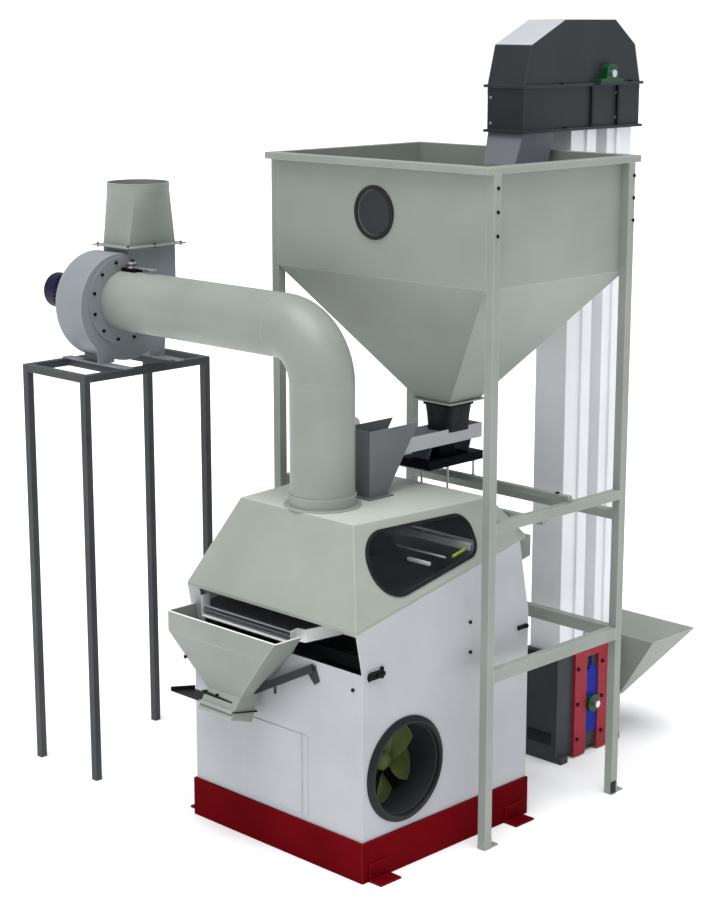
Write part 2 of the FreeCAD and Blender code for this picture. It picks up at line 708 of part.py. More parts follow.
def hood():
    """A suction hood of flat plates with a lip, a window in its right side and two holes in its top."""
    wall = float(s.sheet_wall)
    lip_low = lambda along: float(rim_at(along))
    lip_high = lambda along: float(rim_at(along) + s.hood_lip)
    reach = ((-half_cabinet, half_cabinet), (rim_front, s.hood_rear))
    lip = four_walls(corners(*reach, lip_low), corners(*reach, lip_high),
                     corners(*reach, lip_low, wall), corners(*reach, lip_high, wall))
    under = level(s.hood_top - s.sheet_wall)
    walls = four_walls(hood_section(lip_high), hood_section(under),
                       hood_section(lip_high, wall), hood_section(under, wall))
    window = window_prism(0.0)
    walls[1] = walls[1].cut(window)
    top = faceted(hood_section(under), hood_section(level(s.hood_top)))
    low = float(s.hood_top) - 2 * wall
    duct = Part.makeCylinder(float(s.duct_radius + s.running_gap), 3 * wall,
                             FreeCAD.Vector(0, float(s.duct_y), low))
    feed = Part.makeBox(float(s.inlet_right - s.inlet_left - s.inlet_wall * 2),
                        float(s.inlet_low_rear - s.inlet_front - s.inlet_wall * 2), 3 * wall,
                        FreeCAD.Vector(float(s.inlet_left + s.inlet_wall),
                                       float(s.inlet_front + s.inlet_wall), low))
    top = top.cut(duct).cut(feed)
    keep("hood", shaped(Part.makeCompound(lip + walls + [top])))

    gasket = window_prism(float(s.gasket_width)).common(side_slab(0.0, float(s.gasket_proud)))
    gasket = gasket.cut(window_prism(-2.0))
    keep("window_gasket", shaped(gasket))
    pane = window_prism(-0.5).common(side_slab(-float(s.pane_thickness), 0.0))
    return shaped(pane)


def blower():
    """The blower's inlet: a ring, a shroud, an axial rotor and the motor on its back plate."""
    at = (half_cabinet, s.blower_y, s.blower_z)
    ring = turned("X", at, [
        (s.blower_mouth, 0.0), (s.blower_ring_radius, 0.0), (s.blower_ring_radius, 8.0),
        (s.blower_mouth + 14.0, s.blower_ring_proud), (s.blower_mouth + 6.0, s.blower_ring_proud),
        (s.blower_mouth, s.blower_ring_proud - 8.0)])
    keep("blower_inlet_ring", ring)

    inner = half_cabinet - s.sheet_wall
    back = inner - s.shroud_length
    shroud = tube("X", (back, s.blower_y, s.blower_z), s.blower_mouth + 6.0, s.blower_mouth,
                  s.shroud_length)
    plate_wall = 6.0
    front = back - plate_wall
    arms = []
    for turn in (0, 90):
        arm = block((front, back),
                    (s.blower_y - s.blower_mouth - 6.0, s.blower_y + s.blower_mouth + 6.0)
                    if turn == 0 else (s.blower_y - 30.0, s.blower_y + 30.0),
                    (s.blower_z - 30.0, s.blower_z + 30.0)
                    if turn == 0 else (s.blower_z - s.blower_mouth - 6.0,
                                       s.blower_z + s.blower_mouth + 6.0))
        arms.append(arm)
    plate = rod("X", (front, s.blower_y, s.blower_z), 110.0, plate_wall)
    bore = rod("X", (front - 1.0, s.blower_y, s.blower_z), 16.0, plate_wall + 2.0)
    keep("blower_shroud", group(shroud, cut(joined(plate, *arms), bore)))

    motor_long = 240.0
    motor = turned("X", (front - motor_long, s.blower_y, s.blower_z), [
        (14.0 + s.hinge_fit, motor_long - 60.0), (14.0 + s.hinge_fit, motor_long),
        (100.0, motor_long), (100.0, motor_long - 10.0), (85.0, motor_long - 10.0),
        (85.0, 30.0), (78.0, 0.0), (0.0, 0.0), (0.0, motor_long - 60.0)])
    keep("blower_motor", motor)

    hub_long = 90.0
    hub_x = back + 70.0
    tip = float(s.blower_mouth - s.rotor_gap)
    root = float(s.rotor_hub) - 4.0
    blades = []
    for index in range(int(s.rotor_blades)):
        blades.append(blade(root, tip, 62.0, 88.0, 4.0, float(s.blade_pitch)))
        blades[-1].rotate(FreeCAD.Vector(), FreeCAD.Vector(1, 0, 0),
                          360.0 * index / int(s.rotor_blades))
    hub = Part.makeCylinder(float(s.rotor_hub), hub_long, FreeCAD.Vector(-hub_long / 2, 0, 0),
                            FreeCAD.Vector(1, 0, 0))
    nose = Part.makeCone(float(s.rotor_hub), float(s.rotor_hub) * 0.6, 24.0,
                         FreeCAD.Vector(hub_long / 2, 0, 0), FreeCAD.Vector(1, 0, 0))
    shaft_start = float(front - hub_x) - 50.0
    shaft = Part.makeCylinder(14.0, -shaft_start, FreeCAD.Vector(shaft_start, 0, 0),
                              FreeCAD.Vector(1, 0, 0))
    rotor = hub.multiFuse([nose, shaft] + blades)
    at = FreeCAD.Vector(float(hub_x), float(s.blower_y), float(s.blower_z))
    keep("blower_rotor", shaped(rotor, at))


def blade(root, tip, chord_root, chord_tip, thick, pitch):
    """A twisted fan blade along +Z: thin sections, turned less and less towards the tip."""
    sections = []
    for share in (0.0, 0.5, 1.0):
        radius = root + (tip - root) * share
        chord = chord_root + (chord_tip - chord_root) * share
        angle = math.radians(pitch * (1.25 - 0.5 * share))
        along = FreeCAD.Vector(math.sin(angle), math.cos(angle), 0)
        across = FreeCAD.Vector(math.cos(angle), -math.sin(angle), 0)
        middle = FreeCAD.Vector(0, 0, radius)
        points = [middle - along * (chord / 2) - across * (thick / 2),
                  middle + along * (chord / 2) - across * (thick / 2),
                  middle + along * (chord / 2) + across * (thick / 2),
                  middle - along * (chord / 2) + across * (thick / 2)]
        sections.append(Part.makePolygon(points + points[:1]))
    return Part.makeLoft(sections, True, True)


def product_hopper():
    """The hopper below the front opening, with its spout, the gate in it and the strut beside it."""
    wall = float(s.product_wall)
    lean = (s.spout_right - s.neck_right) / (s.product_rim - s.product_neck)
    knee_right = s.neck_right + lean * (s.product_knee - s.product_neck)
    sections = [
        ((s.spout_left, s.spout_right), (s.product_front, front_lean(s.product_rim)),
         level(s.product_rim)),
        ((s.spout_left, knee_right), (s.product_front, front_lean(s.product_knee)),
         level(s.product_knee)),
        ((s.neck_left, s.neck_right), (s.neck_front, s.neck_rear), level(s.product_neck)),
    ]
    plates = []
    for high, low in zip(sections, sections[1:]):
        plates += four_walls(corners(*low), corners(*high),
                             corners(*low, inset=wall), corners(*high, inset=wall))
    plates.pop(2)
    slant = 0.33
    end_rear = float(s.neck_rear + s.spout_lean)
    end_front = end_rear + float(s.neck_front - s.neck_rear) - 24.0
    end_low = float(s.product_neck - s.spout_drop)
    end_height = lambda along: end_low - slant * (along - end_rear)
    gate_gap = 2.0
    gate_mid = 0.6

    def spout_section(share, shift, inset=0.0):
        """A cut across the spout, part of the way down, moved along it by a small amount."""
        front = float(s.neck_front) + (end_front - float(s.neck_front)) * share
        rear = float(s.neck_rear) + (end_rear - float(s.neck_rear)) * share
        height = lambda along: (float(s.product_neck) * (1 - share) + share * end_height(along)
                                - shift)
        return corners((s.neck_left, s.neck_right), (front, rear), height, inset)

    gate_half = float(s.gate_plate) / 2 + gate_gap / 2
    plates += four_walls(spout_section(gate_mid, -gate_half), spout_section(0.0, 0.0),
                         spout_section(gate_mid, -gate_half, wall), spout_section(0.0, 0.0, wall))
    plates += four_walls(spout_section(1.0, 0.0), spout_section(gate_mid, gate_half),
                         spout_section(1.0, 0.0, wall), spout_section(gate_mid, gate_half, wall))
    middle = spout_section(gate_mid, 0.0)
    half_plate = FreeCAD.Vector(0, 0, float(s.gate_plate) / 2)
    edge = 12.0
    front_edge, rear_edge = middle[0], middle[3]
    forward = (front_edge - rear_edge).normalize()
    left = float(s.neck_left - s.gate_out)
    right = float(s.neck_right) + edge
    plan = [FreeCAD.Vector(left, front_edge.y, front_edge.z) + forward * edge,
            FreeCAD.Vector(right, front_edge.y, front_edge.z) + forward * edge,
            FreeCAD.Vector(right, rear_edge.y, rear_edge.z) - forward * edge,
            FreeCAD.Vector(left, rear_edge.y, rear_edge.z) - forward * edge]
    gate = faceted([point - half_plate for point in plan], [point + half_plate for point in plan])
    handle = faceted([point - half_plate * 1.0 for point in [
        plan[0], plan[0] + FreeCAD.Vector(4.0, 0, 0), plan[3] + FreeCAD.Vector(4.0, 0, 0), plan[3]]],
        [point + FreeCAD.Vector(0, 0, 22.0) for point in [
            plan[0], plan[0] + FreeCAD.Vector(4.0, 0, 0), plan[3] + FreeCAD.Vector(4.0, 0, 0),
            plan[3]]])
    keep("outlet_gate", shaped(gate.fuse(handle)))

    gap = float(s.running_gap)
    guides = []
    for place, out in ((front_edge, forward), (rear_edge, forward * -1)):
        low_rail = -float(s.gate_plate) / 2 - gap - 5.0
        for lift in (low_rail, float(s.gate_plate) / 2 + gap):
            start = FreeCAD.Vector(float(s.neck_left), place.y, place.z + lift) + out * 0.0
            over = out * (edge + 6.0)
            points = [start, start + over, start + over + FreeCAD.Vector(0, 0, 5.0),
                      start + FreeCAD.Vector(0, 0, 5.0)]
            guides.append(prism_of(points, FreeCAD.Vector(float(s.neck_right - s.neck_left), 0, 0)))
        outer = FreeCAD.Vector(float(s.neck_left), place.y, place.z) + out * (edge + gap)
        rise = FreeCAD.Vector(0, 0, float(s.gate_plate) / 2 + gap)
        points = [outer - rise, outer + out * (6.0 - gap) - rise, outer + out * (6.0 - gap) + rise,
                  outer + rise]
        guides.append(prism_of(points, FreeCAD.Vector(float(s.neck_right - s.neck_left), 0, 0)))
    front_guide = guides[0].multiFuse(guides[1:3]).cut(plates[7:])
    rear_guide = guides[3].multiFuse(guides[4:6]).cut(plates[7:])
    keep("product_hopper", shaped(Part.makeCompound(plates + [front_guide, rear_guide])))

    face = -float(half_cabinet)
    start = FreeCAD.Vector(float(s.neck_right), float(s.neck_rear) - 25.0,
                           float(s.product_neck) + 20.0)
    end = FreeCAD.Vector(285.0, face - 14.0, float(s.opening_sill) - 32.0)
    bar = bar_between(start, end, 24.0, 40.0)
    bar = bar.cut(Part.makeBox(2000, 1000, 3000, FreeCAD.Vector(-1000, face, 0)))
    for high, low in zip(sections, sections[1:]):
        bar = bar.cut(faceted(corners(*low), corners(*high)))
    plate = [FreeCAD.Vector(across, face, up)
             for across, up in ((232.0, 1006.0), (290.0, 945.0), (322.0, 968.0), (290.0, 1046.0))]
    plate = prism_of(plate, FreeCAD.Vector(0, -8.0, 0))
    peg = Part.makeBox(10.0, 10.0, 34.0, FreeCAD.Vector(44.0, -665.0, 850.0))
    keep("hopper_strut", shaped(bar.multiFuse([plate, peg])))


def deck():
    """The tilted deck: a tray with a screen, its buffers on two beams, and two vibrating motors."""
    half = s.deck_width / 2
    wall = s.deck_wall
    lift = s.deck_wall_height
    inner = half_cabinet - s.sheet_wall

    def band(along_low, along_high, low, high):
        """Corners of a strip that follows the tilt."""
        return [(along_low, deck_floor(along_low) + low), (along_high, deck_floor(along_high) + low),
                (along_high, deck_floor(along_high) + high),
                (along_low, deck_floor(along_low) + high)]

    step = -half_cabinet + s.opening_flange + 10.0
    sill = s.deck_notch - 8.0
    left_plan = [(-half, s.deck_notch), (step, s.deck_notch), (step, s.deck_front),
                 (step + wall, s.deck_front), (step + wall, s.deck_notch + wall),
                 (-half + wall, s.deck_notch + wall), (-half + wall, s.deck_rear),
                 (-half, s.deck_rear)]
    left = common(profile("YZ", band(s.deck_front, s.deck_rear, 0.0, lift), -half, step + wall),
                  profile("XY", left_plan, 1000.0, 1600.0))
    right = profile("YZ", band(s.guide_depth, s.deck_rear, 0.0, lift), half - wall, half)
    edge = [(s.guide_front, s.deck_front), (s.guide_front, sill), (s.guide_knee, sill + 10.0),
            (s.guide_rear, s.guide_depth), (half, s.guide_depth)]
    floor_points = edge + [(half, s.deck_rear), (-half, s.deck_rear), (-half, s.deck_notch),
                           (step, s.deck_notch), (step, s.deck_front)]
    slab = profile("YZ", band(s.deck_front, s.deck_rear, 0.0, wall), -half, half)
    plan = profile("XY", floor_points, 1000.0, 1600.0)
    floor = common(slab, plan)
    window = common(profile("YZ", band(s.deck_front + 90.0, s.deck_rear - 120.0, -2.0, wall + 2.0),
                            -half + 50.0, half - 50.0),
                    profile("XY", [(-half + 50.0, s.deck_front + 90.0),
                                   (s.guide_front - 40.0, s.deck_front + 90.0),
                                   (s.guide_rear - 80.0, s.guide_depth + 60.0),
                                   (half - 50.0, s.guide_depth + 60.0),
                                   (half - 50.0, s.deck_rear - 120.0),
                                   (-half + 50.0, s.deck_rear - 120.0)], 1000.0, 1600.0))
    guide_strip = profile("YZ", band(s.deck_front, s.guide_depth + wall, 0.0, lift * 0.6),
                          s.guide_front - 20.0, half)
    inner_edge = [(half, s.guide_depth + wall), (s.guide_rear - wall, s.guide_depth + wall),
                  (s.guide_knee - wall, sill + 10.0 + wall), (s.guide_front - wall, sill + wall),
                  (s.guide_front - wall, s.deck_front)]
    guide = common(guide_strip, profile("XY", edge + inner_edge, 1000.0, 1600.0))
    rear_bar = profile("YZ", band(s.deck_rear - 60.0, s.deck_rear, lift - wall, lift),
                       -half + wall, half - wall)
    feet = []
    foot_low = deck_floor(-s.buffer_y - 40.0) - 25.0
    for along in (-s.buffer_y, s.buffer_y):
        for across in (-s.buffer_x, s.buffer_x):
            low = foot_low
            feet.append(profile("YZ", [(along - 40.0, low), (along + 40.0, low),
                                       (along + 40.0, deck_floor(along + 40.0)),
                                       (along - 40.0, deck_floor(along - 40.0))],
                                across - 40.0, across + 40.0))
    ribs = []
    for index in range(5):
        across = -half + wall + (s.deck_width - wall * 2) * (index + 0.5) / 5
        ribs.append(profile("YZ", band(s.guide_depth + 60.0, s.deck_rear - 60.0, wall,
                                       s.screen_lift), across - 2.0, across + 2.0))
    bridge = profile("YZ", band(-10.0, 130.0, -8.0, 0.0), -half, half)
    tray = joined(left, right, cut(floor, window), guide, rear_bar)
    keep("deck_tray", group(tray, bridge, *feet, *ribs))

    screen_slab = profile("YZ", band(s.deck_front + 2.0, s.deck_rear - 2.0, s.screen_lift,
                                     s.screen_lift + 4.0), -half + wall, half - wall)
    inside = [(step + wall, s.deck_front + 2.0), (s.guide_front - wall, s.deck_front + 2.0),
              (s.guide_front - wall, sill + wall), (s.guide_knee - wall, sill + 10.0 + wall),
              (s.guide_rear - wall, s.guide_depth + wall), (half - wall, s.guide_depth + wall),
              (half - wall, s.deck_rear - 2.0), (-half + wall, s.deck_rear - 2.0),
              (-half + wall, s.deck_notch + wall), (step + wall, s.deck_notch + wall)]
    screen = common(screen_slab, profile("XY", inside, 1000.0, 1700.0))
    keep("deck_screen", screen)

    beams, buffers = [], []
    top = foot_low - s.buffer_height
    for along in (-s.buffer_y, s.buffer_y):
        beams.append(block((-inner, inner), (along - s.beam_size / 2, along + s.beam_size / 2),
                           (top - s.beam_size, top)))
        for across in (-s.buffer_x, s.buffer_x):
            buffers.append(turned("Z", (across, along, top), [
                (0.0, 0.0), (s.buffer_radius, 0.0), (s.buffer_radius - 6.0, s.buffer_height / 2),
                (s.buffer_radius, s.buffer_height), (0.0, s.buffer_height)]))
    keep("deck_beams", group(*beams))
    keep("deck_buffers", group(*buffers))

    motors = []
    for side in (-1, 1):
        along = 60.0
        axis_z = deck_floor(along) - 120.0
        middle = side * 230.0
        barrel = turned("X", (middle - 150.0, along, axis_z), [
            (0.0, 0.0), (70.0, 0.0), (78.0, 8.0), (78.0, 60.0), (70.0, 64.0), (70.0, 236.0),
            (78.0, 240.0), (78.0, 292.0), (70.0, 300.0), (0.0, 300.0)])
        saddle = profile("YZ", [(along - 70.0, deck_floor(along - 70.0) - 8.0),
                                (along - 60.0, axis_z), (along + 60.0, axis_z),
                                (along + 70.0, deck_floor(along + 70.0) - 8.0)],
                         middle - 70.0, middle + 70.0)
        motors.append(joined(barrel, saddle))
    keep("vibration_motors", group(*motors))


def opening_fittings():
    """The rod across the deck's mouth and the rubber curtain behind it."""
    inner = half_cabinet - s.sheet_wall
    start = -half_cabinet + s.opening_flange + 10.0 + s.deck_wall
    along = s.deck_front + 14.0
    keep("front_rod", rod("X", (start, along, deck_floor(along) + 54.0), 6.0,
                          s.guide_front - s.deck_wall - start))
    curtain_y = s.guide_depth + 30.0
    keep("rubber_curtain", block((-inner, inner), (curtain_y, curtain_y + 4.0),
                                 (deck_floor(curtain_y) + s.deck_wall_height + 12.0,
                                  rim_at(curtain_y))))


def duct():
    """The suction duct from the hood to the fan: riser, elbow and run, with collar, flange and damper."""
    inner = s.duct_radius - s.duct_wall
    riser_low = s.hood_top - 12.0
    riser_high = s.fan_z - s.elbow_radius
    riser = tube("Z", (0.0, s.duct_y, riser_low), s.duct_radius, inner, riser_high - riser_low)
    bends = []
    for radius in (s.duct_radius, inner):
        bend = doc.addObject("Part::Torus", "Bend")
        bend.setExpression("Radius1", formula_of(s.elbow_radius))
        bend.setExpression("Radius2", formula_of(radius))
        bend.Angle3 = 90
        bends.append(put(bend, (-s.elbow_radius, s.duct_y, riser_high),
                         FreeCAD.Rotation(FreeCAD.Vector(1, 0, 0), 90)))
    elbow = cut(bends[0], bends[1])
    flange_thick = 10.0
    run_end = s.fan_front
    run = tube("X", (run_end, s.duct_y, s.fan_z), s.duct_radius, inner, -s.elbow_radius - run_end)
    spindle_hole = rod("Z", (s.damper_x, s.duct_y, s.fan_z - s.duct_radius - 10.0),
                       s.damper_spindle + s.hinge_fit, s.duct_radius * 2 + 20.0)
    keep("suction_duct", group(riser, elbow, cut(run, spindle_hole)))
    flange = tube("X", (run_end, s.duct_y, s.fan_z), s.inlet_flange_radius,
                  s.duct_radius + s.running_gap, flange_thick)
    seat = s.duct_radius + s.running_gap
    collar = turned("Z", (0.0, s.duct_y, s.hood_top), [
        (seat, 0.0), (s.duct_radius + 32.0, 0.0), (s.duct_radius + 32.0, 6.0),
        (s.duct_radius + 7.0, 6.0), (s.duct_radius + 7.0, s.collar_height),
        (seat, s.collar_height)])
    keep("duct_flanges", group(flange, collar))

    top = s.fan_z + s.duct_radius
    saddle = block((s.damper_x - 58.0, s.damper_x + 58.0), (s.duct_y - 28.0, s.duct_y + 28.0),
                   (top - 10.0, top + 16.0))
    duct_core = rod("X", (s.damper_x - 70.0, s.duct_y, s.fan_z), s.duct_radius, 140.0)
    bearing_hole = rod("Z", (s.damper_x, s.duct_y, top - 20.0), s.damper_spindle + s.hinge_fit,
                       60.0)
    keep("damper_bearing", cut(saddle, duct_core, bearing_hole))
    disc = rod("Y", (s.damper_x, s.duct_y - 2.0, s.fan_z), inner - 3.0, 4.0)
    spindle = rod("Z", (s.damper_x, s.duct_y, s.fan_z - s.duct_radius - 8.0), s.damper_spindle,
                  s.duct_radius * 2 + 54.0)
    knob = rod("Z", (s.damper_x, s.duct_y, top + 17.0), 24.0, 32.0)
    lever = block((s.damper_x, s.damper_x + s.damper_lever), (s.duct_y - 11.0, s.duct_y + 11.0),
                  (top + 18.0, top + 26.0))
    keep("damper", joined(disc, spindle, knob, lever))


def scroll_radius(turned_by):
    """Radius of the fan's scroll after an angle from the top, against the clock seen from +X."""
    return float(s.scroll_start) + (float(s.scroll_end) - float(s.scroll_start)) * turned_by / 270.0


def scroll_face(along_x, inset):
    """The scroll's outline: a growing spiral, and straight sides up to the outlet."""
    axis_y, axis_z = float(s.duct_y), float(s.fan_z)
    outlet_rear = axis_y + float(s.scroll_end)
    outlet_front = outlet_rear - float(s.outlet_width)
    first = -math.degrees(math.asin((outlet_front - axis_y) / float(s.scroll_start)))
    points = []
    steps = 36
    for step in range(steps + 1):
        angle = first + (270.0 - first) * step / steps
        radius = scroll_radius(angle) - inset
        points.append(FreeCAD.Vector(along_x, axis_y - radius * math.sin(math.radians(angle)),
                                     axis_z + radius * math.cos(math.radians(angle))))
    curve = Part.BSplineCurve()
    curve.interpolate(points[::4])
    start, end = points[0], points[-1]
    top = float(s.outlet_flange_z) + inset
    rear_top = FreeCAD.Vector(along_x, end.y, top)
    front_top = FreeCAD.Vector(along_x, start.y + inset, top)
    edges = [curve.toShape(), Part.makeLine(end, rear_top), Part.makeLine(rear_top, front_top),
             Part.makeLine(front_top, start)]
    return Part.Face(Part.Wire(edges))


def fan():
    """The suction fan: scroll, impeller, square-to-round outlet, motor and feet."""
    wall = float(s.fan_wall)
    front = float(s.fan_front)
    back = front - float(s.fan_depth)
    axis = FreeCAD.Vector(front, float(s.duct_y), float(s.fan_z))
    along = FreeCAD.Vector(1, 0, 0)
    inlet = Part.makeCylinder(float(s.duct_radius - s.duct_wall), 60.0, axis - along * 30.0, along)
    shaft_hole = Part.makeCylinder(45.0, 60.0, axis - along * (float(s.fan_depth) + 30.0), along)
    face_front = scroll_face(front - wall, 0.0).extrude(along * wall).cut(inlet)
    face_back = scroll_face(back, 0.0).extrude(along * wall).cut(shaft_hole)
    band_long = float(s.fan_depth) - 2 * wall
    band = scroll_face(back + wall, 0.0).extrude(along * band_long)
    band = band.cut(scroll_face(back, wall).extrude(along * float(s.fan_depth)))
    keep("fan_scroll", shaped(band))

    radius = float(s.impeller_radius)
    back_x = back + 16.0
    disc = Part.makeCylinder(radius, 4.0, FreeCAD.Vector(back_x, axis.y, axis.z), along)
    shroud_x = front - float(s.impeller_inset)
    shroud = Part.makeCylinder(radius, 3.0, FreeCAD.Vector(shroud_x, axis.y, axis.z), along)
    eye = Part.makeCylinder(float(s.impeller_eye), 20.0,
                            FreeCAD.Vector(shroud_x - 10.0, axis.y, axis.z), along)
    shroud = shroud.cut(eye)
    hub = Part.makeCylinder(42.0, 70.0, FreeCAD.Vector(back_x, axis.y, axis.z), along)
    shaft = Part.makeCylinder(19.0, 120.0, FreeCAD.Vector(back_x - 80.0, axis.y, axis.z), along)
    vanes = []
    long = shroud_x - (back_x + 4.0) + 1.0
    for index in range(int(s.impeller_blades)):
        first = FreeCAD.Vector(back_x + 3.0, 0, 110.0)
        middle = FreeCAD.Vector(back_x + 3.0, 42.0, 168.0)
        last = FreeCAD.Vector(back_x + 3.0, 96.0, 205.0)
        shift = FreeCAD.Vector(0, 2.4, -1.8)
        outline = Part.Wire([
            Part.Arc(first, middle, last).toShape(), Part.makeLine(last, last + shift),
            Part.Arc(last + shift, middle + shift, first + shift).toShape(),
            Part.makeLine(first + shift, first)])
        vane = Part.Face(outline).extrude(along * long)
        vane.rotate(FreeCAD.Vector(), along, 360.0 * index / int(s.impeller_blades))
        vane.translate(FreeCAD.Vector(0, axis.y, axis.z))
        vanes.append(vane)
    wheel = disc.multiFuse([shroud, hub, shaft] + vanes)
    keep("suction_impeller", shaped(wheel))

    outlet_rear = axis.y + float(s.scroll_end)
    outlet_front = outlet_rear - float(s.outlet_width)
    flange_low = float(s.outlet_flange_z)
    reach = float(s.outlet_flange_reach)
    flange = frame_bars((back - reach, front + reach), (outlet_front - reach, outlet_rear + reach),
                        (flange_low, flange_low + 7.0), reach + wall)
    low_z = flange_low + 7.0
    round_low = float(s.outlet_top - s.outlet_collar)
    outer = square_to_round((back, front), (outlet_front, outlet_rear), low_z, round_low,
                            float(s.outlet_radius), 0.0)
    hollow = square_to_round((back, front), (outlet_front, outlet_rear), low_z, round_low,
                             float(s.outlet_radius), wall)
    middle = FreeCAD.Vector((back + front) / 2, (outlet_front + outlet_rear) / 2, round_low)
    collar = Part.makeCylinder(float(s.outlet_radius), float(s.outlet_collar), middle)
    collar = collar.cut(Part.makeCylinder(float(s.outlet_radius) - wall, float(s.outlet_collar),
                                          middle))
    keep("fan_outlet", shaped(Part.makeCompound(flange + [outer.cut(hollow), collar])))

    radius = s.motor_radius
    long = s.motor_length
    motor_at = (s.fan_front - s.fan_depth - long, s.duct_y, s.fan_z)
    bore = 19.0 + s.hinge_fit
    body = turned("X", motor_at, [
        (0.0, 0.0), (radius * 0.85, 0.0), (radius * 0.95, 14.0), (radius * 0.95, 90.0),
        (radius, 92.0), (radius, long - 30.0), (radius * 0.8, long - 12.0),
        (radius + 18.0, long - 12.0), (radius + 18.0, long), (bore, long), (bore, long - 90.0),
        (0.0, long - 90.0)])
    box = block((s.fan_front - s.fan_depth - 200.0, s.fan_front - s.fan_depth - 90.0),
                (s.duct_y - 55.0, s.duct_y + 55.0),
                (s.fan_z + radius * 0.7, s.fan_z + radius + 50.0))
    core = rod("X", (motor_at[0] + 100.0, s.duct_y, s.fan_z), radius * 0.5, 240.0)
    keep("fan_motor", joined(body, cut(box, core)))

    feet, aprons = [], []
    for middle in (s.foot_front, s.foot_rear):
        low = s.stand_top
        away = float(middle - s.duct_y)
        side = -1 if away < 0 else 1
        web_y = middle - side * (s.foot_width / 2)
        reach_y = float(web_y) - axis.y
        angle = math.degrees(math.atan2(-reach_y, -1.0)) % 360.0
        for _ in range(30):
            radius_here = scroll_radius(angle)
            drop = math.sqrt(radius_here ** 2 - reach_y ** 2)
            angle = math.degrees(math.atan2(-reach_y, -drop)) % 360.0
        top = axis.z - drop
        base = Part.makeBox(float(s.stand_right - s.stand_left), float(s.foot_width), 8.0,
                            FreeCAD.Vector(float(s.stand_left),
                                           float(middle - s.foot_width / 2), float(low)))
        inner_edge = float(web_y) - (0.0 if side > 0 else 6.0)
        web = Part.makeBox(float(s.fan_depth) - wall, 6.0, top - float(low) - 8.0,
                           FreeCAD.Vector(back, inner_edge, float(low) + 8.0))
        web = web.cut(scroll_face(back - 5.0, 0.0).extrude(along * (float(s.fan_depth) + 10.0)))
        feet.append(base.fuse(web))
        foot_low, foot_high = float(low) + 8.0, float(low) + 150.0
        outline = [FreeCAD.Vector(front - wall, float(middle) + side * out, up)
                   for out, up in ((-58.0, foot_low), (52.0, foot_low), (66.0, foot_high),
                                   (-58.0, foot_high))]
        apron = prism_of(outline, along * wall)
        aprons.append(apron.cut(scroll_face(front - wall - 5.0, 0.0).extrude(along * 20.0)))
    face_front = face_front.multiFuse(aprons).removeSplitter()
    keep("fan_side_plates", shaped(Part.makeCompound([face_front, face_back] + feet)))


def square_to_round(x, y, low, high, radius, wall):
    """A loft from a rectangle to a circle split at the rectangle's corner directions."""
    middle = FreeCAD.Vector((x[0] + x[1]) / 2, (y[0] + y[1]) / 2, high)
    flat = corners(x, y, level(low), wall)
    edges_low = [Part.makeLine(flat[index], flat[(index + 1) % 4]) for index in range(4)]
    round_radius = radius - wall
    marks = []
    for index in range(4):
        angle = math.radians(-135.0 + 90.0 * index)
        marks.append(angle)
    edges_high = []
    for index in range(4):
        start, end = marks[index], marks[index] + math.pi / 2
        points = [middle + FreeCAD.Vector(round_radius * math.cos(angle),
                                          round_radius * math.sin(angle), 0)
                  for angle in (start, (start + end) / 2, end)]
        edges_high.append(Part.Arc(*points).toShape())
    return Part.makeLoft([Part.Wire(edges_low), Part.Wire(edges_high)], True, True)


def fan_stand():
    """A table of square tube that carries the fan."""
    size = s.stand_tube
    left, right = s.stand_left, s.stand_right
    front, rear = s.stand_front, s.stand_rear
    under = s.stand_top - size
    legs = []
    for x in ((left, left + size), (right - size, right)):
        for y in ((front, front + size), (rear - size, rear)):
            legs.append(block(x, y, (0.0, under)))
    bars = [
        block((left, right), (front, front + size), (under, s.stand_top)),
        block((left, right), (rear - size, rear), (under, s.stand_top)),
        block((left, left + size), (front + size, rear - size), (under, s.stand_top)),
        block((right - size, right), (front + size, rear - size), (under, s.stand_top)),
        block((left + size, right - size), (s.foot_front - size / 2, s.foot_front + size / 2),
              (under, s.stand_top)),
        block((left + size, right - size), (s.foot_rear - size / 2, s.foot_rear + size / 2),
              (under, s.stand_top)),
    ]
    keep("fan_stand", group(*legs, *bars))


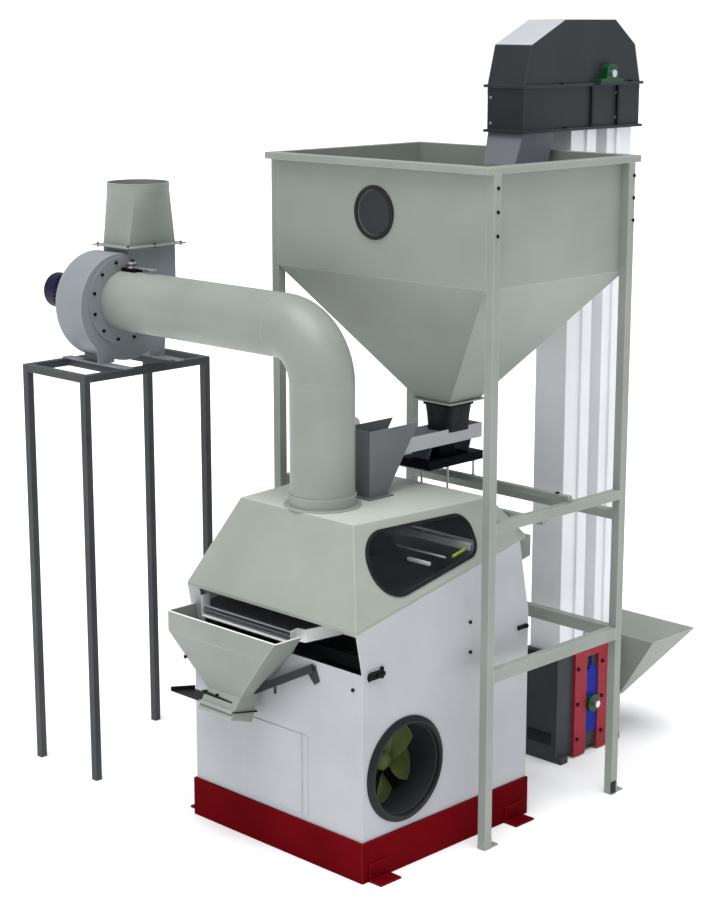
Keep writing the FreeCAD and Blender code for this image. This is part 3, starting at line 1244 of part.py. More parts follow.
def feed_hopper():
    """The large hopper on four legs, with its rim, sight glass, braces and outlet."""
    wall = s.hopper_wall
    x = (s.hopper_x - s.hopper_width / 2, s.hopper_x + s.hopper_width / 2)
    y = (s.hopper_y - s.hopper_depth / 2, s.hopper_y + s.hopper_depth / 2)
    out_x = (s.hopper_x - s.hopper_outlet / 2, s.hopper_x + s.hopper_outlet / 2)
    out_y = (s.hopper_y - s.hopper_outlet / 2, s.hopper_y + s.hopper_outlet / 2)
    flange_top = s.hopper_outlet_z + 8.0
    rim_low = s.hopper_rim - s.hopper_rim_height
    upper = box_walls(x, y, (s.hopper_knee, s.hopper_rim), x, y, wall)
    glass_hole = Part.makeCylinder(float(s.sight_glass_radius), 60.0,
                                   FreeCAD.Vector(0, float(y[0]) - 20.0, float(s.sight_glass_z)),
                                   FreeCAD.Vector(0, 1, 0))
    upper[0] = upper[0].cut(glass_hole)
    cone = box_walls(out_x, out_y, (flange_top, s.hopper_knee), x, y, wall)
    reach = s.hopper_rim_reach
    rim = frame_bars((x[0] - reach, x[1] + reach), (y[0] - reach, y[1] + reach),
                     (s.hopper_rim - 5.0, s.hopper_rim), reach)
    drop = frame_bars((x[0] - reach, x[1] + reach), (y[0] - reach, y[1] + reach),
                      (rim_low, s.hopper_rim - 5.0), 5.0)
    half = s.outlet_flange / 2
    flange = frame_bars((s.hopper_x - half, s.hopper_x + half), (s.hopper_y - half, s.hopper_y + half),
                        (s.hopper_outlet_z, flange_top), half - s.hopper_outlet / 2 + wall)
    keep("feed_hopper", shaped(Part.makeCompound(upper + cone + rim + drop + flange)))

    at = (0.0, y[0], s.sight_glass_z)
    ring = turned("Y", (at[0], at[1] - 10.0, at[2]), [
        (s.sight_glass_radius, 0.0), (s.sight_ring_radius - 4.0, 0.0), (s.sight_ring_radius, 4.0),
        (s.sight_ring_radius, 10.0), (s.sight_glass_radius, 10.0)])
    keep("sight_glass_ring", ring)
    glass = rod("Y", (at[0], at[1] - 6.0, at[2]), s.sight_glass_radius, 6.0)

    size = s.leg_size
    leg_x = ((x[0] - size, x[0]), (x[1], x[1] + size))
    leg_y = ((y[0], y[0] + size), (y[1] - size, y[1]))
    legs = [block(across, along, (0.0, rim_low)) for across in leg_x for along in leg_y]
    feet = []
    for across in leg_x:
        for along in leg_y:
            face = along[1]
            points = [(face, 0.0), (face + 60.0, 0.0), (face + 60.0, 8.0), (face + 8.0, 8.0),
                      (face + 8.0, 60.0), (face, 60.0)]
            hole = rod("Z", (across[0] + size / 2, face + 36.0, -1.0), 7.0, 12.0)
            feet.append(cut(profile("YZ", points, across[0] + 4.0, across[1] - 4.0), hole))
    braces = []
    for across in leg_x:
        for top, tall in ((s.upper_brace_top, s.brace_height),
                          (s.lower_brace_top, s.lower_brace_height)):
            braces.append(block(across, (leg_y[0][1], leg_y[1][0]), (top - tall, top)))
    for top, tall in ((s.rear_brace_top, s.brace_height), (s.lower_brace_top, s.lower_brace_height)):
        braces.append(block((x[0], x[1]), leg_y[1], (top - tall, top)))
    bars = []
    for middle, top in crossbars():
        along = (middle - s.crossbar_size / 2, middle + s.crossbar_size / 2)
        bars.append(block((x[0] - size / 2, x[1] + size / 2), along, (top - s.crossbar_size, top)))
    keep("hopper_frame", group(*legs, *feet, *braces, *bars))
    return glass


def crossbars():
    """The middle and the top of the two bars under the feeder; the front one is below the braces."""
    return ((s.crossbar_front, s.upper_brace_top - s.brace_height),
            (s.crossbar_rear, s.upper_brace_top + s.crossbar_size))


def feeder():
    """The vibrating feeder under the hopper: rubber neck, trough, springs, drive, base and rods."""
    x = (s.hopper_x - s.neck_top / 2, s.hopper_x + s.neck_top / 2)
    y = (s.hopper_y - s.neck_top / 2, s.hopper_y + s.neck_top / 2)
    low_x = (s.feeder_x - s.neck_bottom / 2, s.feeder_x + s.neck_bottom / 2)
    low_y = (s.hopper_y - s.neck_bottom / 2, s.hopper_y + s.neck_bottom / 2)
    neck = box_walls(low_x, low_y, (s.neck_low, s.hopper_outlet_z), x, y, s.hopper_wall)
    keep("rubber_neck", shaped(Part.makeCompound(neck)))

    half = s.trough_width / 2
    wall = s.trough_wall
    left, right = s.feeder_x - half, s.feeder_x + half
    channel = profile("XZ", [
        (left, s.trough_low), (right, s.trough_low), (right, s.trough_high),
        (right - wall, s.trough_high), (right - wall, s.trough_low + wall),
        (left + wall, s.trough_low + wall), (left + wall, s.trough_high), (left, s.trough_high)],
        s.trough_front, s.trough_rear)
    back = block((left + wall, right - wall), (s.trough_rear - wall, s.trough_rear),
                 (s.trough_low + wall, s.trough_high))
    keep("feeder_trough", joined(channel, back))

    base_half = s.feeder_base_width / 2
    base_x = (s.feeder_x - base_half, s.feeder_x + base_half)
    base = block(base_x, (s.feeder_base_front, s.feeder_base_rear),
                 (s.feeder_base_low, s.feeder_base_high))

    springs = []
    for along in (s.feeder_base_front + 40.0, s.feeder_base_rear - 75.0):
        points = [(along, s.feeder_base_high), (along + 8.0, s.feeder_base_high),
                  (along + 33.0, s.trough_low), (along + 25.0, s.trough_low)]
        springs.append(profile("YZ", points, s.feeder_x - 60.0, s.feeder_x + 60.0))
    keep("feeder_leaf_springs", group(*springs))
    drive = joined(
        block((s.feeder_x - 50.0, s.feeder_x + 50.0), (530.0, 650.0),
              (s.feeder_base_high, s.trough_low - 6.0)),
        rod("Y", (s.feeder_x, 515.0, s.feeder_base_high + 30.0), 22.0, 20.0))
    keep("feeder_base", group(base, drive))

    rods = []
    for along, top in crossbars():
        for side in (-1, 1):
            at = (s.feeder_x + side * (base_half - 12.0), along, top)
            bar = rod("Z", at, s.rod_radius, s.feeder_base_low - top)
            low_nut = hexagon("Z", at, s.bolt_across, s.bolt_head)
            high_nut = hexagon("Z", (at[0], at[1], s.feeder_base_low - s.bolt_head), s.bolt_across,
                               s.bolt_head)
            rods.append(joined(bar, low_nut, high_nut))
    keep("feeder_rods", group(*rods))


def inlet_box():
    """The slanted box that takes the feed from the trough's end down into the hood."""
    wall = s.inlet_wall
    lean = (s.inlet_top_rear - s.inlet_low_rear) / (s.inlet_top - s.hood_top)
    outer = [(s.inlet_front, s.hood_top), (s.inlet_low_rear, s.hood_top),
             (s.inlet_top_rear, s.inlet_top), (s.inlet_front, s.inlet_top)]
    sides = [profile("YZ", outer, s.inlet_left, s.inlet_left + wall),
             profile("YZ", outer, s.inlet_right - wall, s.inlet_right)]
    inner = (s.inlet_left + wall, s.inlet_right - wall)
    front = block(inner, (s.inlet_front, s.inlet_front + wall), (s.hood_top, s.inlet_top))
    notch = s.trough_low - 15.0
    notch_y = s.inlet_low_rear + lean * (notch - s.hood_top)
    rear = profile("YZ", [(s.inlet_low_rear, s.hood_top), (notch_y, notch), (notch_y - wall, notch),
                          (s.inlet_low_rear - wall, s.hood_top)], *inner)
    reach = 25.0
    flange = frame_bars((s.inlet_left - reach, s.inlet_right + reach),
                        (s.inlet_front - reach, s.inlet_low_rear + reach + 5.0),
                        (s.hood_top, s.hood_top + 6.0), reach)
    foot = shaped(Part.makeCompound(flange))
    keep("inlet_box", group(*sides, front, rear, foot))


def elevator():
    """The bucket elevator: head with cover and spout, two casings, boot, intake hopper and take-up."""
    wall = s.elevator_wall
    half = s.elevator_width / 2
    x = (s.elevator_x - half, s.elevator_x + half)
    inner_x = (x[0] + wall, x[1] - wall)
    shaft_y = s.elevator_y
    casing = s.casing_size
    up_y = (shaft_y - s.casing_gap / 2 - s.casing_size, shaft_y - s.casing_gap / 2)
    down_y = (shaft_y + s.casing_gap / 2, shaft_y + s.casing_gap / 2 + s.casing_size)
    casing_x = (s.elevator_x - casing / 2, s.elevator_x + casing / 2)

    casings = []
    for along in (up_y, down_y):
        casings += box_walls(casing_x, along, (s.boot_top, s.head_low), casing_x, along, 3.0)
    ribs = []
    for away in (-130.0, 130.0):
        for low, high in ((casing_x[1], casing_x[1] + 15.0), (casing_x[0] - 15.0, casing_x[0])):
            ribs.append(block((low, high), (shaft_y + away - 15.0, shaft_y + away + 15.0),
                              (s.boot_top, s.head_low)))
    keep("elevator_casings", group(shaped(Part.makeCompound(casings)), *ribs))

    y = (s.head_front, s.head_rear)
    side_outline = [(y[0], s.head_low), (y[1], s.head_low), (y[1], s.head_seam), (y[0], s.head_seam)]
    sides = [profile("YZ", side_outline, *span)
             for span in ((x[0], inner_x[0]), (inner_x[1], x[1]))]
    front = block(inner_x, (y[0], y[0] + wall), (s.head_low, s.head_seam))
    rear = block(inner_x, (y[1] - wall, y[1]), (s.head_low, s.head_seam))
    floors = [block(inner_x, (s.chute_rear, up_y[0]), (s.head_low, s.head_low + wall)),
              block(inner_x, (down_y[1], y[1] - wall), (s.head_low, s.head_low + wall)),
              block(inner_x, (up_y[1], down_y[0]), (s.head_low, s.head_low + wall))]
    rims = []
    for low in (s.head_low, s.head_seam - 14.0):
        rims += frame_bars((x[0] - 15.0, x[1] + 15.0), (y[0] - 15.0, y[1] + 15.0),
                           (low, low + 14.0), 15.0)
    rims = shaped(Part.makeCompound(rims))

    cover = [(y[0], s.head_seam), (y[0] + 55.0, s.head_seam + 201.0),
             (y[0] + 326.0, s.head_top), (y[0] + 750.0, s.head_top),
             (y[1] - 51.0, s.head_seam + 197.0), (y[1], s.head_seam)]
    hole = s.shaft_radius + 3.0
    cheeks = []
    for span in ((x[0], inner_x[0]), (inner_x[1], x[1])):
        cheek = profile("YZ", cover, *span)
        cheeks.append(cut(cheek, rod("X", (span[0] - 2.0, shaft_y, s.head_shaft_z), hole, 10.0)))
    skins = []
    for index in range(5):
        start = FreeCAD.Vector(0, float(cover[index][0]), float(cover[index][1]))
        end = FreeCAD.Vector(0, float(cover[index + 1][0]), float(cover[index + 1][1]))
        inward_start = inward_corner(cover, index, float(wall))
        inward_end = inward_corner(cover, index + 1, float(wall))
        low_x, high_x = float(inner_x[0]), float(inner_x[1])
        points = [FreeCAD.Vector(low_x, point.y, point.z)
                  for point in (start, end, inward_end, inward_start)]
        skins.append(shaped(prism_of(points, FreeCAD.Vector(high_x - low_x, 0, 0))))
    keep("elevator_cover", group(*cheeks, *skins))

    spout = box_walls((x[0] + 18.0, x[1] - 18.0), (850.0, 1120.0),
                      (s.hopper_rim - 62.0, s.head_low),
                      inner_x, (y[0] + wall, s.chute_rear), 3.0)
    spout = shaped(Part.makeCompound(spout))

    shaft_len = s.elevator_width + 120.0
    drum = turned("X", (s.elevator_x - s.belt_width / 2 - 10.0, shaft_y, s.head_shaft_z), [
        (s.shaft_radius - 1.0, 0.0), (s.pulley_radius, 0.0), (s.pulley_radius, s.belt_width + 20.0),
        (s.shaft_radius - 1.0, s.belt_width + 20.0)])
    shaft = rod("X", (s.elevator_x - shaft_len / 2, shaft_y, s.head_shaft_z), s.shaft_radius,
                shaft_len)
    keep("head_pulley", joined(drum, shaft))
    drum = turned("X", (s.elevator_x - s.belt_width / 2 - 10.0, shaft_y, s.boot_shaft_z), [
        (s.shaft_radius - 1.0, 0.0), (s.pulley_radius, 0.0), (s.pulley_radius, s.belt_width + 20.0),
        (s.shaft_radius - 1.0, s.belt_width + 20.0)])
    boot_shaft_len = s.elevator_width + 130.0
    shaft = rod("X", (s.elevator_x - boot_shaft_len / 2, shaft_y, s.boot_shaft_z), s.shaft_radius,
                boot_shaft_len)
    keep("boot_pulley", joined(drum, shaft))

    bearings = []
    for side in (-1, 1):
        face = s.elevator_x + side * half
        span = sorted((face, face + side * 46.0), key=float)
        length = s.bearing_length
        outline = [(shaft_y - length / 2, s.head_seam), (shaft_y + length / 2, s.head_seam),
                   (shaft_y + length / 2, s.head_seam + 16.0), (shaft_y + 48.0, s.head_seam + 22.0),
                   (shaft_y + 42.0, s.head_shaft_z + 34.0), (shaft_y + 22.0, s.head_shaft_z + 48.0),
                   (shaft_y - 22.0, s.head_shaft_z + 48.0), (shaft_y - 42.0, s.head_shaft_z + 34.0),
                   (shaft_y - 48.0, s.head_seam + 22.0), (shaft_y - length / 2, s.head_seam + 16.0)]
        bore = rod("X", (span[0] - 2.0, shaft_y, s.head_shaft_z), s.shaft_radius + s.hinge_fit, 60.0)
        bearings.append(cut(profile("YZ", outline, *span), bore))
    keep("head_bearings", group(*bearings))
    shelves = []
    for side in (-1, 1):
        face = s.elevator_x + side * (half + 15.0)
        span = sorted((face, face + side * 36.0), key=float)
        shelves.append(block(tuple(span), (shaft_y - 110.0, shaft_y + 110.0),
                             (s.head_seam - 12.0, s.head_seam)))
    keep("elevator_head", group(*sides, front, rear, *floors, rims, *shelves, spout))

    belt_in = s.pulley_radius + s.running_gap
    belt_out = belt_in + s.belt_thickness
    belt_x = (s.elevator_x - s.belt_width / 2, s.elevator_x + s.belt_width / 2)

    def loop(radius, span):
        """A solid with the belt's outline, of a radius, between two places along X."""
        return joined(
            rod("X", (span[0], shaft_y, s.head_shaft_z), radius, span[1] - span[0]),
            rod("X", (span[0], shaft_y, s.boot_shaft_z), radius, span[1] - span[0]),
            block(span, (shaft_y - radius, shaft_y + radius), (s.boot_shaft_z, s.head_shaft_z)))

    belt = cut(loop(belt_out, belt_x), loop(belt_in, (belt_x[0] - 2.0, belt_x[1] + 2.0)))
    buckets = []
    count = 12
    for side in (-1, 1):
        for index in range(count):
            low = s.boot_shaft_z + 330.0 + (s.head_shaft_z - s.boot_shaft_z - 620.0) * index / count
            start = shaft_y + side * belt_out
            tip = start + side * 78.0
            rise = 1 if side < 0 else -1
            points = [(start, low), (start, low + rise * 110.0), (tip, low + rise * 96.0),
                      (tip - side * 26.0, low)]
            buckets.append(profile("YZ", points, belt_x[0] + 5.0, belt_x[1] - 5.0))
    keep("elevator_belt", group(belt, *buckets))
    boot(x, inner_x, wall, half, shaft_y, up_y, down_y)


def inward_corner(outline, index, wall):
    """A corner of an open roof outline, moved inwards by the wall so that the plates mitre."""
    here = FreeCAD.Vector(0, float(outline[index][0]), float(outline[index][1]))
    normals = []
    for first, second in ((index - 1, index), (index, index + 1)):
        if first < 0 or second >= len(outline):
            continue
        start = FreeCAD.Vector(0, float(outline[first][0]), float(outline[first][1]))
        end = FreeCAD.Vector(0, float(outline[second][0]), float(outline[second][1]))
        run = (end - start).normalize()
        normals.append(FreeCAD.Vector(0, run.z, -run.y))
    if len(normals) == 1:
        run = FreeCAD.Vector(0, -normals[0].z, normals[0].y)
        level_run = FreeCAD.Vector(0, 1, 0) if index == 0 else FreeCAD.Vector(0, -1, 0)
        return here + level_run * (wall / abs(normals[0].dot(FreeCAD.Vector(0, 1, 0))))
    total = normals[0] + normals[1]
    return here + total * (wall / (1 + normals[0].dot(normals[1])))


def boot(x, inner_x, wall, half, shaft_y, up_y, down_y):
    """The elevator's boot with its feet, the take-up on both sides and the intake hopper behind."""
    y = (s.boot_front, s.boot_rear)
    slot_half = s.shaft_radius + 6.0
    slot = block((x[0] - 5.0, x[1] + 5.0), (shaft_y - slot_half, shaft_y + slot_half),
                 (s.boot_shaft_z - slot_half, s.boot_shaft_z + s.takeup_travel + slot_half))
    sides = []
    for span in ((x[0], inner_x[0]), (inner_x[1], x[1])):
        sides.append(cut(block(span, y, (s.boot_low, s.boot_top)), slot))
    mouth_high = s.intake_low + 260.0
    front = block(inner_x, (y[0], y[0] + wall), (s.boot_low, s.boot_top))
    rear_low = block(inner_x, (y[1] - wall, y[1]), (s.boot_low, s.intake_low))
    rear_high = block(inner_x, (y[1] - wall, y[1]), (mouth_high, s.boot_top))
    floor = block(inner_x, (y[0] + wall, y[1] - wall), (s.boot_low, s.boot_low + wall))
    lids = [block(inner_x, (y[0] + wall, up_y[0]), (s.boot_top - wall, s.boot_top)),
            block(inner_x, (up_y[1], down_y[0]), (s.boot_top - wall, s.boot_top)),
            block(inner_x, (down_y[1], y[1] - wall), (s.boot_top - wall, s.boot_top))]
    feet = []
    for reach, along in ((36.0, (y[0], y[0] + 60.0)), (4.0, (y[1] - 60.0, y[1]))):
        feet.append(block((x[0] - reach, x[1] + reach), along, (0.0, s.boot_low)))
    keep("elevator_boot", group(*sides, front, rear_low, rear_high, floor, *lids, *feet))

    rails, plates, housings, screws, bridges = [], [], [], [], []
    groove = 8.0
    groove_in = 4.0
    screw_radius = 6.0
    for side in (-1, 1):
        face = s.elevator_x + side * half
        for way in (-1, 1):
            edge = shaft_y + way * (54.0)
            far = edge + way * s.rail_width
            span = tuple(sorted((face, face + side * s.rail_depth), key=float))
            bar = block(span, tuple(sorted((edge, far), key=float)), (10.0, s.rail_top))
            low = face + side * groove_in
            high = low + side * (s.plate_thickness + s.running_gap * 2)
            channel = block(tuple(sorted((low, high), key=float)),
                            tuple(sorted((edge - way * 1.0, edge + way * groove), key=float)),
                            (0.0, s.rail_top + 1.0))
            rails.append(cut(bar, channel))
        start = face + side * (groove_in + s.running_gap)
        middle = start + side * s.plate_thickness / 2
        span = tuple(sorted((start, start + side * s.plate_thickness), key=float))
        reach = 54.0 + groove - s.running_gap
        outline = block(span, (shaft_y - reach, shaft_y + reach), (s.plate_low, s.plate_high))
        hole = rod("X", (span[0] - 2.0, shaft_y, s.boot_shaft_z), s.shaft_radius + s.hinge_fit,
                   s.plate_thickness + 4.0)
        plates.append(cut(outline, hole))
        start = start + side * s.plate_thickness
        housing = turned("X", (start if side > 0 else start - 26.0, shaft_y, s.boot_shaft_z), [
            (s.shaft_radius + s.hinge_fit, 0.0), (50.0, 0.0), (50.0, 26.0),
            (s.shaft_radius + s.hinge_fit, 26.0)])
        housings.append(housing)
        bridge = block(tuple(sorted((face, face + side * s.rail_depth), key=float)),
                       (shaft_y - 54.0, shaft_y + 54.0), (s.rail_top - 34.0, s.rail_top))
        bore = rod("Z", (middle, shaft_y, s.rail_top - 40.0), screw_radius + s.hinge_fit, 50.0)
        bridges.append(cut(bridge, bore))
        screw = rod("Z", (middle, shaft_y, s.plate_high), screw_radius,
                    s.rail_top - s.plate_high + 60.0)
        head = hexagon("Z", (middle, shaft_y, s.rail_top + 60.0), 22.0, 12.0)
        foot = block(span, (shaft_y - 20.0, shaft_y + 20.0), (s.plate_high, s.plate_high + 20.0))
        screws.append(joined(screw, head, foot))
    keep("takeup_rails", group(*rails, *bridges))
    keep("takeup_plates", group(*plates, *screws))
    keep("boot_bearings", group(*housings))

    wall = float(s.elevator_wall)
    high = corners((s.intake_left, s.intake_right), (s.boot_rear, s.intake_rear), level(s.intake_rim))
    low = corners(x, (s.boot_rear, s.boot_rear + 40.0), level(s.intake_low))
    high_in = corners((s.intake_left, s.intake_right), (s.boot_rear, s.intake_rear),
                      level(s.intake_rim), wall)
    low_in = corners(x, (s.boot_rear, s.boot_rear + 40.0), level(s.intake_low), wall)
    plates = four_walls(low, high, low_in, high_in)
    mouth = Part.makeBox(float(inner_x[1] - inner_x[0]), 60.0, 255.0,
                         FreeCAD.Vector(float(inner_x[0]), float(s.boot_rear) - 20.0,
                                        float(s.intake_low) + 5.0))
    plates[0] = plates[0].cut(mouth)
    floor = faceted(corners(x, (s.boot_rear, s.boot_rear + 40.0), level(s.intake_low - 4.0)),
                    corners(x, (s.boot_rear, s.boot_rear + 40.0), level(s.intake_low)))
    keep("intake_hopper", shaped(Part.makeCompound(plates + [floor])))


def fasteners():
    """Bolt heads that the photograph shows, and the toggle clamps on the right side."""
    heads = []
    for along, up in ((160.0, 1164.0), (163.0, 1005.0)):
        heads.append(hexagon("X", (half_cabinet, along, up), s.bolt_across, s.bolt_head))
    heads.append(hexagon("Y", (551.0, -half_cabinet - s.bolt_head, 981.0), s.bolt_across,
                         s.bolt_head))
    for index in range(int(s.inlet_bolts)):
        angle = 2 * math.pi * (index + 0.5) / int(s.inlet_bolts)
        at = (s.fan_front + 10.0, s.duct_y + s.inlet_bolt_circle * math.cos(angle),
              s.fan_z + s.inlet_bolt_circle * math.sin(angle))
        heads.append(hexagon("X", at, s.bolt_across, s.bolt_head))
    rail_face = s.elevator_x + s.elevator_width / 2 + s.rail_depth
    for away in (-132.0, 88.0):
        for up in (110.0, 320.0, 530.0):
            heads.append(hexagon("X", (rail_face, s.elevator_y + away, up), s.bolt_across + 4.0,
                                 s.bolt_head))
    keep("bolt_heads", group(*heads))

    bases, levers = [], []
    for low, high in ((-589.0, -457.0), (520.0, 612.0)):
        face = half_cabinet
        bases.append(block((face, face + 4.0), (low, high), (1026.0, 1074.0)))
        pivot_y = low + 70.0
        arm = joined(block((face + 4.3, face + 16.0), (low + 6.0, high - 12.0), (1040.0, 1060.0)),
                     rod("X", (face + 4.3, pivot_y, 1050.0), 11.0, 16.0))
        levers.append(arm)
    keep("clamp_bases", group(*bases))
    keep("clamp_lever_front", levers[0])
    keep("clamp_lever_rear", levers[1])


base_ring()
anchor_brackets()
cabinet()
access_door()
window_pane = hood()
blower()
product_hopper()
deck()
opening_fittings()
duct()
fan()
fan_stand()
sight_glass = feed_hopper()
keep("window_panes", group(window_pane, sight_glass))
feeder()
inlet_box()
elevator()
fasteners()

doc.recompute()
for thing in doc.Objects:
    if any(word in thing.State for word in ("Invalid", "Error")):
        raise RuntimeError(f"{thing.Name} ({thing.Label}) failed: {thing.State}")

os.makedirs("parts", exist_ok=True)
for made in NODES:
    if made.Shape.isNull() or not made.Shape.isValid():
        raise RuntimeError(f"{made.Label} has no valid shape")
for made in NODES:
    made.Shape.exportStep(os.path.join("parts", made.Label + ".step"))
print(len(NODES), "sub-parts written")
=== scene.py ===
# %% [markdown]
# # A stone separator, dressed for the studio
# The real machine is folded sheet steel, sprayed with satin enamel, on a dark red base ring.
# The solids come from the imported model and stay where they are; this file gives them their
# finishes and adds what is too small or too soft for them. Every length below is in
# millimetres, which is how a workshop thinks, and it becomes metres when a mesh is made.

# %% The model and its box
import math

import bpy
import numpy as np
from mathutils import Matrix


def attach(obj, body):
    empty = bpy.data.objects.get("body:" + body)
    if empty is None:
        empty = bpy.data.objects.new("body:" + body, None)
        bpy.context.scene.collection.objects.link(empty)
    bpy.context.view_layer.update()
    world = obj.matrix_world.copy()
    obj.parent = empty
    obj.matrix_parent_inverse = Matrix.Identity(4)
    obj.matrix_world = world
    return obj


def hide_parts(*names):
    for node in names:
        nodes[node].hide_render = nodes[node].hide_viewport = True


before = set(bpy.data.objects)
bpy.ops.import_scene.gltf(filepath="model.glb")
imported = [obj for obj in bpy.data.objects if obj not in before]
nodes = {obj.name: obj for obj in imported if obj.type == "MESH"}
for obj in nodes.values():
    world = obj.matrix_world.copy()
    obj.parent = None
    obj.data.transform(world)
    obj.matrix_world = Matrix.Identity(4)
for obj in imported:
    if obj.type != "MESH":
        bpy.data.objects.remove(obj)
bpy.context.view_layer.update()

# %% [markdown]
# ## The camera
# The photograph was taken from the right front corner, a little above the hopper's rim, with a
# long lens, so upright edges stay upright. The place and the lens were worked out from the
# machine's own corners.

# %% Camera
VIEW_FROM = (6918.0, -7027.0, 4170.0)
VIEW_TURN = 44.645
VIEW_DOWN = 12.643
LENS = 78.35

lens = bpy.data.cameras.new("Camera")
lens.lens = LENS
lens.sensor_width = 36.0
lens.clip_end = 200.0
camera = bpy.data.objects.new("Camera", lens)
camera.location = [value / 1000.0 for value in VIEW_FROM]
camera.rotation_euler = (math.radians(90.0 - VIEW_DOWN), 0.0, math.radians(VIEW_TURN))
bpy.context.scene.collection.objects.link(camera)
bpy.context.scene.camera = camera
bpy.context.scene.view_settings.view_transform = "Standard"
print("camera at", VIEW_FROM, "mm")


# %% [markdown]
# ## Colours and shader nodes
# Paint makers give a colour as it looks on a screen, and the shader wants it linear, so one
# function turns a hex value. One more adds a shader node with its settings and links, which
# keeps each finish below as short as its recipe.

# %% Helpers for finishes
def colour(code):
    """The linear colour of a screen hex value: each channel over 255, then the sRGB curve undone."""
    channels = np.array([int(code[i:i + 2], 16) for i in (1, 3, 5)]) / 255.0
    linear = np.where(channels <= 0.04045, channels / 12.92, ((channels + 0.055) / 1.055) ** 2.4)
    return (*linear, 1.0)


def add(tree, kind, inputs=None, **settings):
    """Adds one shader node; inputs maps a socket to a number, a colour or another node's output."""
    node = tree.nodes.new(kind)
    for name, value in settings.items():
        setattr(node, name, value)
    for name, value in (inputs or {}).items():
        if isinstance(value, bpy.types.NodeSocket):
            tree.links.new(value, node.inputs[name])
        else:
            node.inputs[name].default_value = value
    return node


def blank(name):
    """A new finish with its shader, its output and the place on the piece to draw patterns by."""
    material = bpy.data.materials.new(name)
    material.use_nodes = True
    tree = material.node_tree
    tree.nodes.clear()
    shader = add(tree, "ShaderNodeBsdfPrincipled")
    output = add(tree, "ShaderNodeOutputMaterial", {"Surface": shader.outputs["BSDF"]})
    place = add(tree, "ShaderNodeTexCoord").outputs["Object"]
    return material, tree, shader, output, place


def per_metre(size):
    """A pattern's scale for a feature of that many millimetres."""
    return 1000.0 / size


def ramp(tree, factor, stops):
    """A colour ramp through (place, hex) stops."""
    node = add(tree, "ShaderNodeValToRGB", {"Fac": factor})
    elements = node.color_ramp.elements
    elements[0].position, elements[1].position = stops[0][0], stops[-1][0]
    elements[0].color, elements[1].color = colour(stops[0][1]), colour(stops[-1][1])
    for at, code in stops[1:-1]:
        elements.new(at).color = colour(code)
    return node.outputs["Color"]


# %% [markdown]
# ## Satin enamel on sheet steel
# The panels are sprayed and stoved. Such paint has a fine orange peel, which blurs reflections,
# and a slow change of shade where the spray was thicker. Its edges, inner and outer alike, are
# painted lighter: partly thin, worn paint and partly a painted highlight, the bright line that light
# draws along an edge. The peel is really about 2 mm; it is drawn at 9 mm so that it shows at this
# distance. A bevelled normal differs from the face's own only near an edge, and that difference is
# the mask for the lighter edges.

# %% Enamels
PEEL = 9.0
CLOUD = 420.0
LIGHT_EDGE_BAND = 5.0
EDGE_WEAR_AND_HIGHLIGHT = 0.45
PEEL_DEPTH = 0.05


def enamel(name, dark, light, edge, roughness, shine=0.3, other=None):
    """Stoved paint: slow clouds of two shades, edges lighter as wear and painted highlight, orange
    peel.

    other is a second colour on part of the same piece, as (hex, axis, limit in mm, side): side is
    +1 for what lies beyond the limit along that axis, and -1 for what lies before it. On the duct's
    flanges and the deck it is a second paint; on the hood's top and the head's spout it is a painted
    highlight.
    """
    material, tree, shader, output, place = blank(name)
    cloud = add(tree, "ShaderNodeTexNoise", {"Vector": place, "Scale": per_metre(CLOUD),
                                             "Detail": 3.0, "Roughness": 0.55})
    shade = ramp(tree, cloud.outputs["Fac"], [(0.34, dark), (0.66, light)])
    eased = add(tree, "ShaderNodeBevel", {"Radius": LIGHT_EDGE_BAND / 1000.0}, samples=4)
    flat = add(tree, "ShaderNodeNewGeometry").outputs["Normal"]
    same = add(tree, "ShaderNodeVectorMath", {0: eased.outputs["Normal"], 1: flat},
               operation="DOT_PRODUCT")
    # Edges are painted lighter: partly worn paint, partly a painted highlight along each edge.
    wear_and_highlight = add(tree, "ShaderNodeMapRange", {"Value": same.outputs["Value"], "From Min": 0.99,
                                            "From Max": 0.86, "To Max": EDGE_WEAR_AND_HIGHLIGHT})
    mixed = add(tree, "ShaderNodeMix", {"Factor": wear_and_highlight.outputs["Result"], "A": shade,
                                        "B": colour(edge)}, data_type="RGBA")
    fine = add(tree, "ShaderNodeTexNoise", {"Vector": place, "Scale": per_metre(PEEL),
                                            "Detail": 2.0})
    gloss = add(tree, "ShaderNodeMapRange", {"Value": fine.outputs["Fac"], "To Min": roughness,
                                             "To Max": roughness + 0.12})
    bump = add(tree, "ShaderNodeBump", {"Strength": PEEL_DEPTH, "Distance": 0.001,
                                        "Height": fine.outputs["Fac"]})
    paint = mixed.outputs["Result"]
    if other:
        code, axis, limit, side = other
        along = add(tree, "ShaderNodeSeparateXYZ", {"Vector": place}).outputs[axis]
        beyond = add(tree, "ShaderNodeMath", {0: along, 1: limit / 1000.0},
                     operation="GREATER_THAN" if side > 0 else "LESS_THAN")
        paint = add(tree, "ShaderNodeMix", {"Factor": beyond.outputs["Value"], "A": paint,
                                            "B": colour(code)}, data_type="RGBA").outputs["Result"]
    tree.links.new(paint, shader.inputs["Base Color"])
    tree.links.new(gloss.outputs["Result"], shader.inputs["Roughness"])
    tree.links.new(bump.outputs["Normal"], shader.inputs["Normal"])
    shader.inputs["IOR"].default_value = 1.5
    shader.inputs["Specular IOR Level"].default_value = shine
    return material


